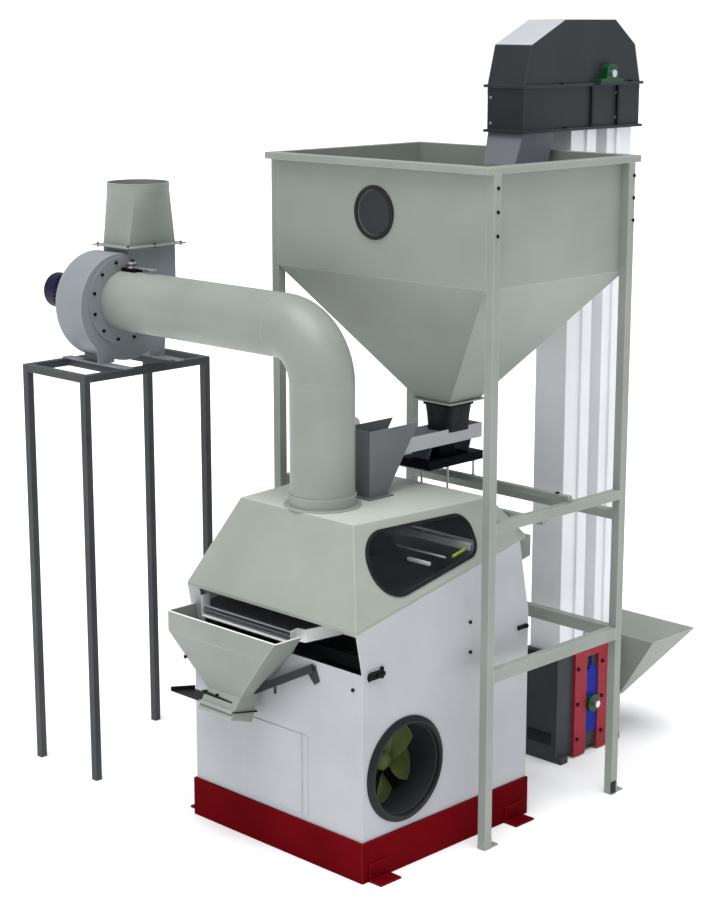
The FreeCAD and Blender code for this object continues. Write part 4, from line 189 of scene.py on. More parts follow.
pebble_enamel = enamel("pebble_grey_enamel", "#888e87", "#90968f", "#cdd1cb", 0.40)
flange_enamel = enamel("flange_enamel", "#888e87", "#90968f", "#cdd1cb", 0.40,
                       other=("#7e8388", "X", -1000.0, -1))
# Whatever lies above 1743.5 mm, the hood's top, is painted lighter: a painted highlight for the
# light from above.
hood_enamel = enamel("light_pebble_enamel", "#8e948c", "#969c94", "#ccd0ca", 0.40,
                     other=("#b2b8b0", "Z", 1743.5, 1))
duct_enamel = enamel("glossy_duct_enamel", "#848a83", "#8c928b", "#c0c4be", 0.34, shine=0.35)
panel_enamel = enamel("white_panel_enamel", "#a8abae", "#b0b3b6", "#dadcde", 0.38)
casing_enamel = enamel("casing_grey_enamel", "#e2e4e7", "#eaecef", "#f6f8fa", 0.40)
fan_enamel = enamel("fan_grey_enamel", "#7e8388", "#868b90", "#b4b8bc", 0.38)
charcoal_enamel = enamel("charcoal_enamel", "#282c2f", "#2f3336", "#5c6064", 0.45, shine=0.2)
# Below 3550 mm, at the spout, the head is painted a lighter grey: a painted highlight where its
# sloped front faces the light.
head_enamel = enamel("head_charcoal_enamel", "#282c2f", "#2f3336", "#5c6064", 0.45, shine=0.2,
                     other=("#7c8086", "Z", 3550.0, -1))
boot_enamel = enamel("boot_grey_enamel", "#34393c", "#3c4144", "#787c80", 0.45, shine=0.2)
stand_enamel = enamel("stand_grey_enamel", "#3a3e41", "#444848", "#787c80", 0.45, shine=0.2)
inlet_enamel = enamel("inlet_grey_enamel", "#5e6264", "#686c6e", "#9ca0a2", 0.40)
black_enamel = enamel("black_enamel", "#121416", "#1a1d20", "#3a3d40", 0.45, shine=0.2)
base_enamel = enamel("dark_red_enamel", "#560006", "#66030c", "#98323c", 0.6, shine=0.02)
rail_enamel = enamel("red_rail_enamel", "#8c1c2a", "#9c2432", "#c87078", 0.45, shine=0.2)
plate_enamel = enamel("blue_plate_enamel", "#0a1c84", "#12289a", "#3c58c8", 0.45, shine=0.12)
navy_enamel = enamel("navy_enamel", "#020308", "#04060f", "#1c1f3c", 0.5, shine=0.05)
motor_enamel = enamel("motor_blue_enamel", "#0e1024", "#16182e", "#383b6a", 0.42, shine=0.15)
spring_enamel = enamel("slate_spring_enamel", "#2a3844", "#34424e", "#607080", 0.42)
olive_enamel = enamel("olive_blade_enamel", "#4c5a30", "#5a683a", "#a4b078", 0.42, shine=0.2)
bearing_enamel = enamel("bearing_green_enamel", "#0c3a1c", "#124826", "#40885a", 0.25)
white_enamel = enamel("white_guide_enamel", "#dadcda", "#e6e8e6", "#f4f6f4", 0.38)
deck_enamel = enamel("worn_deck_enamel", "#69726a", "#7d867c", "#b4bab0", 0.48,
                     other=("#e2e4e2", "Y", -330.0, -1))
maroon_enamel = enamel("maroon_enamel", "#4c1a26", "#5e2632", "#905862", 0.42)
strip_enamel = enamel("seal_strip_enamel", "#b4c62a", "#c6d83a", "#e0e888", 0.45)
print(len(bpy.data.materials), "enamels")

# %% [markdown]
# ## Bare metal, black oxide, rubber and the clear panel
# Zinc-plated parts keep a faint spangle, turned ones keep the fine lines of the tool, and bolts
# are black oxide. Rubber is matt with a fine dust on it. The clear panels are acrylic: they let
# the dark inside show and only catch light at a low angle. Metal keeps the shader's own IOR.

# %% Metals, rubber and acrylic
def metal(name, dark, light, grain, roughness, spread=(1.0, 1.0, 1.0)):
    """Bare metal: two shades and a gloss that follow one grain, drawn out along an axis or not."""
    material, tree, shader, output, place = blank(name)
    drawn = add(tree, "ShaderNodeMapping", {"Vector": place, "Scale": spread})
    lines = add(tree, "ShaderNodeTexNoise", {"Vector": drawn.outputs["Vector"],
                                             "Scale": per_metre(grain), "Detail": 4.0})
    shade = ramp(tree, lines.outputs["Fac"], [(0.3, dark), (0.7, light)])
    gloss = add(tree, "ShaderNodeMapRange", {"Value": lines.outputs["Fac"], "To Min": roughness,
                                             "To Max": roughness + 0.2})
    bump = add(tree, "ShaderNodeBump", {"Strength": 0.08, "Distance": 0.0005,
                                        "Height": lines.outputs["Fac"]})
    tree.links.new(shade, shader.inputs["Base Color"])
    tree.links.new(gloss.outputs["Result"], shader.inputs["Roughness"])
    tree.links.new(bump.outputs["Normal"], shader.inputs["Normal"])
    shader.inputs["Metallic"].default_value = 1.0
    return material


zinc = metal("zinc_plate", "#a4a9ae", "#c8ccd0", 14.0, 0.38)
turned_steel = metal("turned_steel", "#b4b8bc", "#dcdfe2", 6.0, 0.28, (6.0, 1.0, 1.0))
screen_steel = metal("screen_steel", "#8a8f92", "#b4b9bc", 5.0, 0.42)
black_oxide = metal("black_oxide_steel", "#0d0f11", "#1c1f22", 8.0, 0.42)


def rubber_of(name, dark, light):
    """Matt rubber: a fine dusty mottle over black, with a grain that breaks up any gloss."""
    material, tree, shader, output, place = blank(name)
    dust = add(tree, "ShaderNodeTexNoise", {"Vector": place, "Scale": per_metre(35.0),
                                            "Detail": 5.0})
    grain = add(tree, "ShaderNodeTexNoise", {"Vector": place, "Scale": per_metre(4.0)})
    bump = add(tree, "ShaderNodeBump", {"Strength": 0.25, "Distance": 0.0006,
                                        "Height": grain.outputs["Fac"]})
    tree.links.new(ramp(tree, dust.outputs["Fac"], [(0.3, dark), (0.75, light)]),
                   shader.inputs["Base Color"])
    tree.links.new(bump.outputs["Normal"], shader.inputs["Normal"])
    shader.inputs["Roughness"].default_value = 0.62
    shader.inputs["Specular IOR Level"].default_value = 0.2
    shader.inputs["IOR"].default_value = 1.52
    return material


black_rubber = rubber_of("black_rubber", "#0b0d0f", "#1b1e20")


def acrylic():
    """A thin clear panel: mostly see-through, with a smoky tint and a faint haze in its gloss."""
    material, tree, shader, output, place = blank("clear_acrylic")
    haze = add(tree, "ShaderNodeTexNoise", {"Vector": place, "Scale": per_metre(60.0),
                                            "Detail": 4.0})
    gloss = add(tree, "ShaderNodeMapRange", {"Value": haze.outputs["Fac"], "To Min": 0.02,
                                             "To Max": 0.10})
    tree.links.new(ramp(tree, haze.outputs["Fac"], [(0.3, "#1c2426"), (0.7, "#2c3436")]),
                   shader.inputs["Base Color"])
    tree.links.new(gloss.outputs["Result"], shader.inputs["Roughness"])
    shader.inputs["Alpha"].default_value = 0.14
    shader.inputs["IOR"].default_value = 1.49
    return material


clear_acrylic = acrylic()
print("metals, rubber and acrylic ready")

# %% [markdown]
# ## Which part wears which finish
# The list reads like a paint plan for the workshop. A finish is put into the slots of a part's
# own object, and its mesh is left as it is. Folded sheet never has a razor edge, so the large
# folded parts get their loose corners joined and a 2 mm fold, both as modifiers, and the light
# then catches each edge as a thin line.

# %% Paint plan
PAINT_PLAN = {
    pebble_enamel: ["product_hopper", "feed_hopper", "hopper_frame", "fan_outlet"],
    flange_enamel: ["duct_flanges"],
    hood_enamel: ["hood", "intake_hopper"], duct_enamel: ["suction_duct"],
    fan_enamel: ["fan_scroll", "fan_side_plates"], stand_enamel: ["fan_stand"],
    inlet_enamel: ["inlet_box"],
    panel_enamel: ["cabinet_front", "cabinet_rear", "cabinet_right_side", "cabinet_left_side",
                   "access_door", "clamp_bases", "door_hinge_strip", "feeder_trough"],
    casing_enamel: ["elevator_casings"],
    head_enamel: ["elevator_head"],
    charcoal_enamel: ["elevator_cover", "blower_shroud", "deck_beams", "hopper_strut",
                      "suction_impeller"],
    boot_enamel: ["elevator_boot"],
    black_enamel: ["outlet_gate", "sight_glass_ring", "blower_inlet_ring"],
    base_enamel: ["base_frame", "anchor_brackets"],
    rail_enamel: ["takeup_rails"], plate_enamel: ["takeup_plates"],
    navy_enamel: ["feeder_base"], spring_enamel: ["feeder_leaf_springs"],
    motor_enamel: ["fan_motor", "blower_motor", "vibration_motors"],
    olive_enamel: ["blower_rotor"], deck_enamel: ["deck_tray"],
    bearing_enamel: ["head_bearings", "boot_bearings"],
    zinc: ["damper", "feeder_rods"],
    turned_steel: ["front_rod", "head_pulley", "boot_pulley"], screen_steel: ["deck_screen"],
    black_oxide: ["damper_bearing", "bolt_heads", "clamp_lever_front", "clamp_lever_rear"],
    black_rubber: ["window_gasket", "deck_buffers", "rubber_curtain", "rubber_neck",
                   "elevator_belt"],
    clear_acrylic: ["window_panes"],
}
for finish, names in PAINT_PLAN.items():
    for name in names:
        slots = nodes[name].material_slots
        for slot in slots:
            slot.link = "OBJECT"
            slot.material = finish
        if not slots:
            nodes[name].data.materials.append(finish)
FOLDED = ("hood", "cabinet_front", "cabinet_right_side", "cabinet_left_side", "product_hopper",
          "feed_hopper", "hopper_frame", "inlet_box", "elevator_casings", "base_frame",
          "fan_stand", "feeder_trough")
FOLD = 2.0
JOINED = 0.1
FOLD_ANGLE = 35.0
for name in FOLDED:
    weld = nodes[name].modifiers.new("joined corners", "WELD")
    weld.merge_threshold = JOINED / 1000.0
    fold = nodes[name].modifiers.new("folded edge", "BEVEL")
    fold.width = FOLD / 1000.0
    fold.segments = 2
    fold.limit_method = "ANGLE"
    fold.angle_limit = math.radians(FOLD_ANGLE)
    fold.harden_normals = True
left = sorted(set(nodes) - {name for names in PAINT_PLAN.values() for name in names})
print("nodes without a finish:", left)

# %% [markdown]
# ## Making surfaces
# Every new piece is a grid of points worked out at once: rows along a path or a profile, columns
# round it. The points go to Blender as they are, neighbours are joined by quads, and the two
# open ends are closed. Faces point outwards when the volume they enclose comes out positive, so
# a piece that comes out negative is turned.

# %% Grid surfaces
def grid_quads(rows, columns, loop):
    """Four corners of each quad of a rows by columns grid, closed round; loop joins its ends."""
    down = np.arange(rows if loop else rows - 1)[:, None]
    along = np.arange(columns)[None, :]
    below, after = (down + 1) % rows, (along + 1) % columns
    return np.stack([down * columns + along, below * columns + along,
                     below * columns + after, down * columns + after], -1).reshape(-1, 4)


def surface(name, points, finish, body, loop=False, sharp=35.0):
    """A piece from points shaped (copies, rows, columns, 3) in mm, on a body of the model."""
    points = np.asarray(points, float)
    if points.ndim == 3:
        points = points[None]
    copies, rows, columns, _ = points.shape
    shift = np.arange(copies)[:, None, None] * rows * columns
    faces = (grid_quads(rows, columns, loop)[None] + shift).reshape(-1, 4).tolist()
    if not loop:
        first = np.arange(columns)[::-1]
        last = np.arange(columns) + (rows - 1) * columns
        faces += (first[None] + shift[:, 0]).tolist() + (last[None] + shift[:, 0]).tolist()
    mesh = bpy.data.meshes.new(name)
    mesh.from_pydata((points.reshape(-1, 3) / 1000.0).tolist(), [], faces)
    mesh.update()
    mesh.calc_loop_triangles()
    corners = np.empty(len(mesh.loop_triangles) * 3, np.int32)
    mesh.loop_triangles.foreach_get("vertices", corners)
    a, b, c = (points.reshape(-1, 3)[corners].reshape(-1, 3, 3)[:, i] for i in range(3))
    if np.einsum("ij,ij->i", a, np.cross(b, c)).sum() < 0:
        mesh.flip_normals()
    mesh.shade_smooth()
    mesh.set_sharp_from_angle(angle=math.radians(sharp))
    mesh.materials.append(finish)
    made = bpy.data.objects.new(name, mesh)
    bpy.context.scene.collection.objects.link(made)
    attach(made, body)
    return made


def square_to(axis):
    """Two directions square to an axis, and the axis, each of length one."""
    axis = np.array(axis, float) / np.linalg.norm(axis)
    helper = (0.0, 0.0, 1.0) if abs(axis[2]) < 0.9 else (1.0, 0.0, 0.0)
    side = np.cross(helper, axis)
    side /= np.linalg.norm(side)
    return side, np.cross(axis, side), axis


def turned(profile, at, axis, steps=24):
    """A profile of (radius, height) turned about an axis at each place: centre + r(cos, sin) + h."""
    side, up, axis = square_to(axis)
    at = np.atleast_2d(np.array(at, float))
    radius, height = np.array(profile, float).T
    angle = np.linspace(0.0, 2 * np.pi, steps, endpoint=False)
    around = np.cos(angle)[:, None] * side + np.sin(angle)[:, None] * up
    ring = radius[:, None, None] * around[None] + height[:, None, None] * axis
    return at[:, None, None, :] + ring[None]


def bolts(name, at, axis, across, height, finish, body, washer=1.35):
    """Hexagon heads on washers: 12 columns, of which the six on the flats come in by cos 30."""
    side, up, axis = square_to(axis)
    at = np.atleast_2d(np.array(at, float))
    corner = across / 2 / math.cos(math.radians(30.0))
    flat = np.where(np.arange(12) % 2 == 0, 1.0, math.cos(math.radians(30.0)))
    even = np.ones(12)
    rows = [(across / 2 * washer, 0.0, even), (across / 2 * washer, height * 0.2, even),
            (corner, height * 0.2, flat), (corner, height * 0.85, flat),
            (across / 2 * 0.86, height, even)]
    angle = np.arange(12) * np.pi / 6
    around = np.cos(angle)[:, None] * side + np.sin(angle)[:, None] * up
    ring = np.stack([(r * shape)[:, None] * around + h * axis for r, h, shape in rows])
    return surface(name, at[:, None, None, :] + ring[None], finish, body, sharp=25.0)


def swept(path, section, up=(0.0, 0.0, 1.0), loop=False):
    """A closed section carried along a path: each row is path point + u * side + v * up there."""
    path = np.array(path, float)
    section = np.array(section, float)
    if loop:
        ahead = np.roll(path, -1, 0) - np.roll(path, 1, 0)
    else:
        ahead = np.gradient(path, axis=0)
    ahead /= np.linalg.norm(ahead, axis=1)[:, None]
    side = np.cross(ahead, np.array(up, float))
    side /= np.linalg.norm(side, axis=1)[:, None]
    top = np.cross(side, ahead)
    return path[:, None, :] + section[None, :, :1] * side[:, None, :] \
        + section[None, :, 1:] * top[:, None, :]


def circle(radius, steps):
    """Points round a circle, as a section."""
    angle = np.linspace(0.0, 2 * np.pi, steps, endpoint=False)
    return np.stack([radius * np.cos(angle), radius * np.sin(angle)], 1)


def rounded_bar(width, height, radius, steps=4):
    """A rectangle with rounded corners, as a section: each corner is a quarter circle."""
    turn = np.linspace(0.0, np.pi / 2, steps)
    points = []
    for quarter, (across, high) in enumerate(((1, 1), (-1, 1), (-1, -1), (1, -1))):
        angle = turn + quarter * np.pi / 2
        points.append(np.stack([across * (width / 2 - radius) + radius * np.cos(angle),
                                high * (height / 2 - radius) + radius * np.sin(angle)], 1))
    return np.concatenate(points)


print("surface helpers ready")

# %% [markdown]
# ## The rubber sleeve between hopper and trough
# The feed drops through a soft sleeve, hung from the hopper's flange on a strap. It narrows
# downwards, its walls sag in between the corners and its lower end hangs free over the shaking
# trough. As a surface: columns go round a square with rounded corners, rows go down, and the
# walls come in by a sine over the height with a shallow ripple.

# %% Rubber sleeve
SLEEVE_TOP = 2160.5
SLEEVE_LOW = 2000.5
SLEEVE_X, SLEEVE_Y = 19.0, 640.0
SLEEVE_HALF, NARROWING, SAG, RIPPLE = 99.0, 15.0, 3.0, 1.6
STRAP_REACH, STRAP_HEIGHT = 98.5, 2146.0


def sleeve_wall(inset, rows=28, columns=72):
    """A rounded square, half width = 99 - 15 down - 3 sin(pi down), with eight ripples round it."""
    turn = np.linspace(0.0, 2 * np.pi, columns, endpoint=False)
    down = np.linspace(0.0, 1.0, rows)[:, None]
    power = 7.0
    square = (np.abs(np.cos(turn)) ** power + np.abs(np.sin(turn)) ** power) ** (-1 / power)
    half = SLEEVE_HALF - NARROWING * down - SAG * np.sin(np.pi * down) - inset
    ripple = RIPPLE * np.sin(8.0 * turn)[None, :] * np.sin(np.pi * down) ** 2
    reach = half * square[None, :] + ripple
    x = SLEEVE_X + reach * np.cos(turn)
    y = SLEEVE_Y + reach * np.sin(turn)
    z = SLEEVE_TOP - down * (SLEEVE_TOP - SLEEVE_LOW) + 0.0 * x
    return np.stack([x, y, z], -1)


WALL = 4.0
wall = np.concatenate([sleeve_wall(0.0), sleeve_wall(WALL)[::-1]])
sleeve = surface("rubber_sleeve", wall, black_rubber, "frame", loop=True)
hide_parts("rubber_neck")
strap_path = [(SLEEVE_X + STRAP_REACH * u, SLEEVE_Y + STRAP_REACH * v, STRAP_HEIGHT) for u, v in
              ((1, -0.9), (1, 0.9), (0.9, 1), (-0.9, 1), (-1, 0.9), (-1, -0.9), (-0.9, -1),
               (0.9, -1))]
surface("sleeve_strap", swept(strap_path, rounded_bar(2.5, 18.0, 1.0), loop=True), black_oxide,
        "frame", loop=True)
print("sleeve", len(sleeve.data.polygons), "faces")

# %% [markdown]
# ## Bolts
# Flanges are held by black bolts, and in the photograph they are the small dark dots that give
# the machine its scale. One grid holds a whole row of them.

# %% Leg, flange and head bolts
RIGHT, FRONT, UP, DOWN = (1, 0, 0), (0, -1, 0), (0, 0, 1), (0, 0, -1)
LEG_FACE = 792.0
STUD_DROP = 34.0
FLANGE_TOP, FLANGE_UNDER = 2912.0, 2905.0

leg_rows = [(LEG_FACE, y, z) for y in (119.0, 1178.0) for z in (3351.0, 3238.0, 3124.0)]
bolts("leg_bolts", leg_rows, RIGHT, 16.0, 6.0, black_oxide, "frame", washer=1.2)
bolts("leg_studs", [(x, y, z - STUD_DROP) for x, y, z in leg_rows], RIGHT, 7.0, 4.0, zinc, "frame")

flange_rows = [(x, y) for x in (-1796.0, -1531.0) for y in (-254.0, 120.0)]
flange_rows += [(x, -67.0) for x in (-1798.0, -1529.0)]
bolts("outlet_flange_bolts", [(x, y, FLANGE_TOP) for x, y in flange_rows], UP, 12.0, 8.0,
      black_oxide, "frame")
bolts("outlet_flange_nuts", [(x, y, FLANGE_UNDER) for x, y in flange_rows], DOWN, 12.0, 9.0,
      black_oxide, "frame")

rim_rows = [(298.0, y, z) for y, z in ((1192.0, 3796.0), (1226.0, 3566.0), (1780.0, 3796.0))]
bolts("head_rim_bolts", rim_rows, UP, 14.0, 8.0, black_oxide, "frame")
bolts("head_front_bolts", [(66.0, 895.0, z) for z in (3729.0, 3597.0)], FRONT, 13.0, 6.0,
      fan_enamel, "frame")
bolts("head_side_bolts", [(290.0, 1655.0, z) for z in (3741.0, 3610.0)], RIGHT, 15.0, 8.0,
      stand_enamel, "frame")
bolts("crossbar_bolts", [(682.0, 546.0, 1658.0), (682.0, 751.0, 1740.0)], UP, 18.0, 9.0,
      black_oxide, "frame")
print("bolts placed")

# %% [markdown]
# ## The elevator's head
# The cover's sloping front is a separate pale sheet, which is why it shines above the dark
# sides. Two upright angles stiffen the side below the bearing.

# %% Head sheet and stiffeners
SHEET_LEFT, SHEET_RIGHT, SHEET_UNDER, SHEET_TOP = 44.0, 288.0, 0.2, 2.2
SIDE_LOW, SIDE_HIGH = 3566.0, 3781.0
slope_low = np.array((0.0, 950.0, 3997.0))
slope_high = np.array((0.0, 1221.0, 4124.0))
run = slope_high - slope_low
away = np.array((0.0, -run[2], run[1])) / np.linalg.norm(run)
start, end = slope_low + 0.01 * run, slope_low + 0.985 * run
outline = ((SHEET_LEFT, SHEET_UNDER), (SHEET_RIGHT, SHEET_UNDER), (SHEET_RIGHT, SHEET_TOP),
           (SHEET_LEFT, SHEET_TOP))
sheet = np.stack([[corner + np.array((x, 0, 0)) + lift * away for x, lift in outline]
                  for corner in (start, end)])
surface("head_slope_sheet", sheet, panel_enamel, "frame")
angle = [(290.2, -16.0), (305.0, -16.0), (305.0, -11.0), (295.0, -11.0), (295.0, 16.0),
         (290.2, 16.0)]
for place, y in (("front", 1455.0), ("rear", 1680.0)):
    points = np.stack([[(x, y + shift, z) for x, shift in angle] for z in (SIDE_LOW, SIDE_HIGH)])
    surface("head_angle_" + place, points, black_enamel, "frame")
print("head dressed")

# %% [markdown]
# ## The rolled rim
# The product hopper ends in a rolled wire edge, painted white as a painted highlight for the bright
# line along its rim. It is a small circle carried along three sides of the rim, with its corners
# eased.

# %% Rolled rim
RIM_WIRE = 3.4
rim = [(-581.0, -640.0, 1180.0), (-581.0, -815.0, 1180.0), (220.0, -815.0, 1180.0),
       (220.0, -640.0, 1180.0)]


def cornered(points, radius=6.0, steps=5):
    """The same path with each inner corner rounded by a quadratic curve from leg to leg."""
    points = np.array(points, float)
    made = [points[:1]]
    t = np.linspace(0.0, 1.0, steps)[:, None]
    for before, corner, after in zip(points[:-2], points[1:-1], points[2:]):
        a = corner + (before - corner) / np.linalg.norm(before - corner) * radius
        b = corner + (after - corner) / np.linalg.norm(after - corner) * radius
        made.append((1 - t) ** 2 * a + 2 * t * (1 - t) * corner + t ** 2 * b)
    return np.concatenate(made + [points[-1:]])


# The wire is white as a painted highlight along the rim.
surface("product_hopper_rim", swept(cornered(rim), circle(RIM_WIRE, 10)), white_enamel, "frame")
print("rim rolled")

# %% [markdown]
# ## Inside the hood
# Through the side window a dark hanging sheet, two bright cross bars, a square beam and the
# deck's yellow-green sealing strip show against the black. A second sheet closes the gap at the
# back, where the floor outside would shine through.

# %% Behind the window
SHEET = 4.0
SWELL = 3.0


def hanging_sheet(name, left, right, low, high, finish, folds=3.0, rows=33):
    """A sheet from low to high (y, z): across x it swells by a sine, most at its free lower edge."""
    x = np.linspace(left, right, rows)[:, None]
    swell = SWELL * np.sin(2 * np.pi * folds * (x - left) / (right - left))
    y = np.array((low[0], high[0], high[0] + SHEET, low[0] + SHEET))[None, :]
    y = y + swell * (1, 0.2, 0.2, 1)
    z = np.array((low[1], high[1], high[1], low[1]))[None, :] + 0.0 * x
    return surface(name, np.stack([x + 0.0 * y, y, z], -1), finish, "frame")


hanging_sheet("window_curtain", -540.0, 262.0, (95.0, 1400.0), (-69.0, 1600.0), charcoal_enamel)
for name, left, right, y, z, size in (("window_bar_upper", -533.0, 533.0, 58.0, 1506.0, 9.0),
                                      ("window_bar_lower", 395.0, 539.0, -65.0, 1498.0, 17.0),
                                      ("window_beam", -540.0, 548.0, 249.0, 1526.0, 37.0)):
    surface(name, swept([(left, y, z), (right, y, z)], rounded_bar(size, size, 2.0)),
            white_enamel, "frame")
strip_line = [(556.0, 86.2, 1509.5), (556.0, 179.7, 1530.1)]
surface("deck_seal_strip", swept(strip_line, rounded_bar(8.0, 14.0, 2.0)), strip_enamel, "deck")
hanging_sheet("rear_curtain", -525.0, 525.0, (564.0, 1450.0), (500.0, 1610.0), inlet_enamel)
print("hood furnished")

# %% [markdown]
# ## The fan motor's fins
# A closed motor is cooled by long fins, set round its shell and blown by a fan under the cowl.
# Each fin is a thin blade whose tip is narrower than its root. The terminal box takes the place
# of five of them.

# %% Motor fins
MOTOR_Y, MOTOR_Z = -276.0, 2625.0
FIN_FROM, FIN_TO = -2055.0, -1815.0
SHELL, FIN_TIP = 100.0, 116.0
ROOT_HALF, TIP_HALF = 2.0, 1.2
FIN_PLACES = 32
BOX_PLACES = (6, 7, 8, 9, 10)

number = np.array([i for i in range(FIN_PLACES) if i not in BOX_PLACES])
around = 2 * np.pi * number / FIN_PLACES
out = np.stack([0 * around, np.cos(around), np.sin(around)], 1)
side = np.stack([0 * around, -np.sin(around), np.cos(around)], 1)
fin = np.stack([SHELL * out - ROOT_HALF * side, SHELL * out + ROOT_HALF * side,
                FIN_TIP * out + TIP_HALF * side, FIN_TIP * out - TIP_HALF * side], 1)
fins = np.stack([fin + np.array((x, MOTOR_Y, MOTOR_Z)) for x in (FIN_FROM, FIN_TO)], 1)
surface("fan_motor_fins", fins, motor_enamel, "frame")
print(len(number), "fins on")

# %% [markdown]
# ## The dark behind the sight glass and the damper's collar
# The feed hopper is dark inside, so its round glass shows a grey disc: a thin charcoal disc behind
# the pane is that painted shade. The damper's spindle ends in a maroon collar, which turns with the
# damper.

# %% Sight glass shade disc and damper collar
SHADE_DISC_AT = (0.0, 97.0, 3184.0)
COLLAR_AT = (-1475.0, -276.0, 2819.0)
# A charcoal disc behind the glass is painted shade for the hopper's dark inside.
shade_disc = turned([(0.5, 0.0), (112.0, 0.0), (112.0, 1.0), (0.5, 1.0)], SHADE_DISC_AT, (0, 1, 0), 48)
surface("sight_glass_painted_shade", shade_disc, charcoal_enamel, "frame")
collar = [(24.3, 0.0), (30.0, 0.0), (30.0, 9.0), (26.0, 13.0), (24.3, 13.0)]
surface("damper_collar", turned(collar, COLLAR_AT, UP, 24), maroon_enamel, "damper", loop=True)
print("film and collar placed")

# %% [markdown]
# ## Small black pieces at the elevator's foot
# A clean-out slide closes the boot low on its front, a short strip marks its top edge, and a
# clip holds the rear leg's foot plate to the floor. Each is a folded strip with a lip to grip
# it by, so its section is drawn once and carried along.

# %% Boot slide and foot anchor
def folded(name, section, axis, start, end):
    """Folded strip: a section in the plane square to axis x (0) or y (1), carried along it."""
    points = np.array([[(at, u, v) if axis == 0 else (u, at, v) for u, v in section]
                       for at in (start, end)])
    surface(name, points, black_enamel, "frame")


slide = [(1281.5, 97.0), (1277.0, 97.0), (1277.0, 158.0), (1268.0, 158.0), (1268.0, 162.0),
         (1277.0, 166.0), (1281.5, 166.0)]
strip = [(1281.5, 612.0), (1277.0, 612.0), (1277.0, 623.0), (1270.0, 625.0), (1270.0, 628.0),
         (1281.5, 628.0)]
clip = [(791.5, 12.0), (799.0, 12.0), (799.0, 16.0), (796.0, 18.0), (796.0, 74.0), (791.5, 74.0)]
folded("boot_slide", slide, 0, 82.0, 252.0)
folded("boot_strip", strip, 0, 77.0, 136.0)
folded("foot_anchor", clip, 1, 1131.0, 1172.0)
print("boot and foot dressed")

# %% [markdown]
# ## The gate's rail and the blower's mouth
# The outlet gate runs behind a dark rail on the product hopper's front, held by two clamps, and
# a small peg sits on the hopper's left edge. A thin charcoal liner round the blower's mouth, where
# it passes through the pale panel, is painted shade that darkens the panel's lit edge there.

# %% Gate rail and mouth liner
BLOWER_Y, BLOWER_Z = -312.0, 514.0
MOUTH_X = 604.5
rail_line = [(-345.0, -795.0, 800.0), (-118.0, -795.0, 791.0)]
surface("gate_rail", swept(rail_line, rounded_bar(12.0, 14.0, 2.0)), black_enamel, "frame")
bolts("slope_peg", [(-462.0, -802.0, 952.0)], (-1.0, 0.0, 0.6), 14.0, 16.0, black_oxide, "frame")
bolts("gate_clamp_bolts", [(x, -793.0, 795.0) for x in (-322.0, -236.0)], UP, 17.0, 16.0,
      black_oxide, "frame")
# A charcoal liner darkens the panel's edge at the mouth: painted shade.
shade_liner = [(231.5, 0.0), (231.5, 8.5), (228.5, 8.5), (228.5, 0.0)]
surface("mouth_shade_liner", turned(shade_liner, (MOUTH_X, BLOWER_Y, BLOWER_Z), RIGHT, 64), charcoal_enamel,
        "frame", loop=True)
print("gate rail and liner placed")

# %% [markdown]
# ## The blower's rotor
# An axial rotor: six broad blades, twisted from root to tip, on a hub with a rounded nose. A
# blade is a function of two parameters, the share of the radius and the share of the chord:
# the angle grows with the chord, the place along the shaft falls with it by the pitch, and the
# pitch eases towards the tip. The two sides of its thickness are joined into a closed tube.

# %% Rotor
ROTOR_AT = np.array((0.0, BLOWER_Y, BLOWER_Z))
ROOT, TIP = 50.0, 224.0
HUB_X, BLADE_X = 336.0, 440.0


def rotor_blade(start, rows=14, columns=15):
    """One twisted blade: angle = start + share of chord + sweep, x = middle - share of pitch.

    Rows go from root to tip. The chord is 56 to 48 degrees, narrowed by a sine at both ends; the
    pitch falls from 82 to 56 mm. Columns go along the top and come back along the underside.
    """
    radius = np.linspace(ROOT, TIP, rows)[:, None]
    share = np.linspace(-0.5, 0.5, columns)[None, :]
    outward = (radius - ROOT) / (TIP - ROOT)
    narrowed = 0.72 + 0.28 * np.sin(np.pi * (0.2 + 0.6 * outward))
    chord = np.radians(56.0 - 8.0 * outward) * narrowed
    angle = start + share * chord + 0.20 * outward
    pitch = 82.0 - 26.0 * outward
    along = BLADE_X - share * pitch + 6.0 * np.cos(np.pi * share)
    thick = 2.2 * np.cos(np.pi * share * 0.9) + 0.6
    top = np.stack([along + thick, radius * np.cos(angle), radius * np.sin(angle)], -1)
    low = np.stack([along - thick, radius * np.cos(angle), radius * np.sin(angle)], -1)
    return np.concatenate([top, low[:, ::-1]], 1) + ROTOR_AT


blades = np.stack([rotor_blade(turn) for turn in np.arange(6) * np.pi / 3 + 0.5])
rotor = surface("rotor_blades", blades, olive_enamel, "blower_rotor")
hub = [(0.5, 0.0), (54.0, 0.0), (55.0, 4.0), (55.0, 120.0), (50.0, 132.0), (36.0, 142.0),
       (18.0, 147.5), (0.5, 149.0)]
surface("rotor_hub", turned(hub, (HUB_X, BLOWER_Y, BLOWER_Z), RIGHT, 40), olive_enamel,
        "blower_rotor")
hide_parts("blower_rotor")
print("rotor", len(rotor.data.polygons), "faces")

# %% [markdown]
# ## The toggle latch and the guard on the inlet box
# The right side has an over-centre latch: a bent wire loop on a lever, with small bolts round
# it. The loop is a circle carried round a long ring, the way the wire is really bent, and turns
# with the lever. A pale guard with a round top stands at the inlet box.

# %% Latch and guard
def long_ring(centre, half, radius, steps=10):
    """A ring in the plane of the side panel: two half circles joined by straight runs."""
    turn = np.linspace(-np.pi / 2, np.pi / 2, steps)
    right = np.stack([0 * turn, half + radius * np.cos(turn), radius * np.sin(turn)], 1)
    left = np.stack([0 * turn, -half - radius * np.cos(turn), -radius * np.sin(turn)], 1)
    return np.concatenate([right, left]) + np.array(centre)


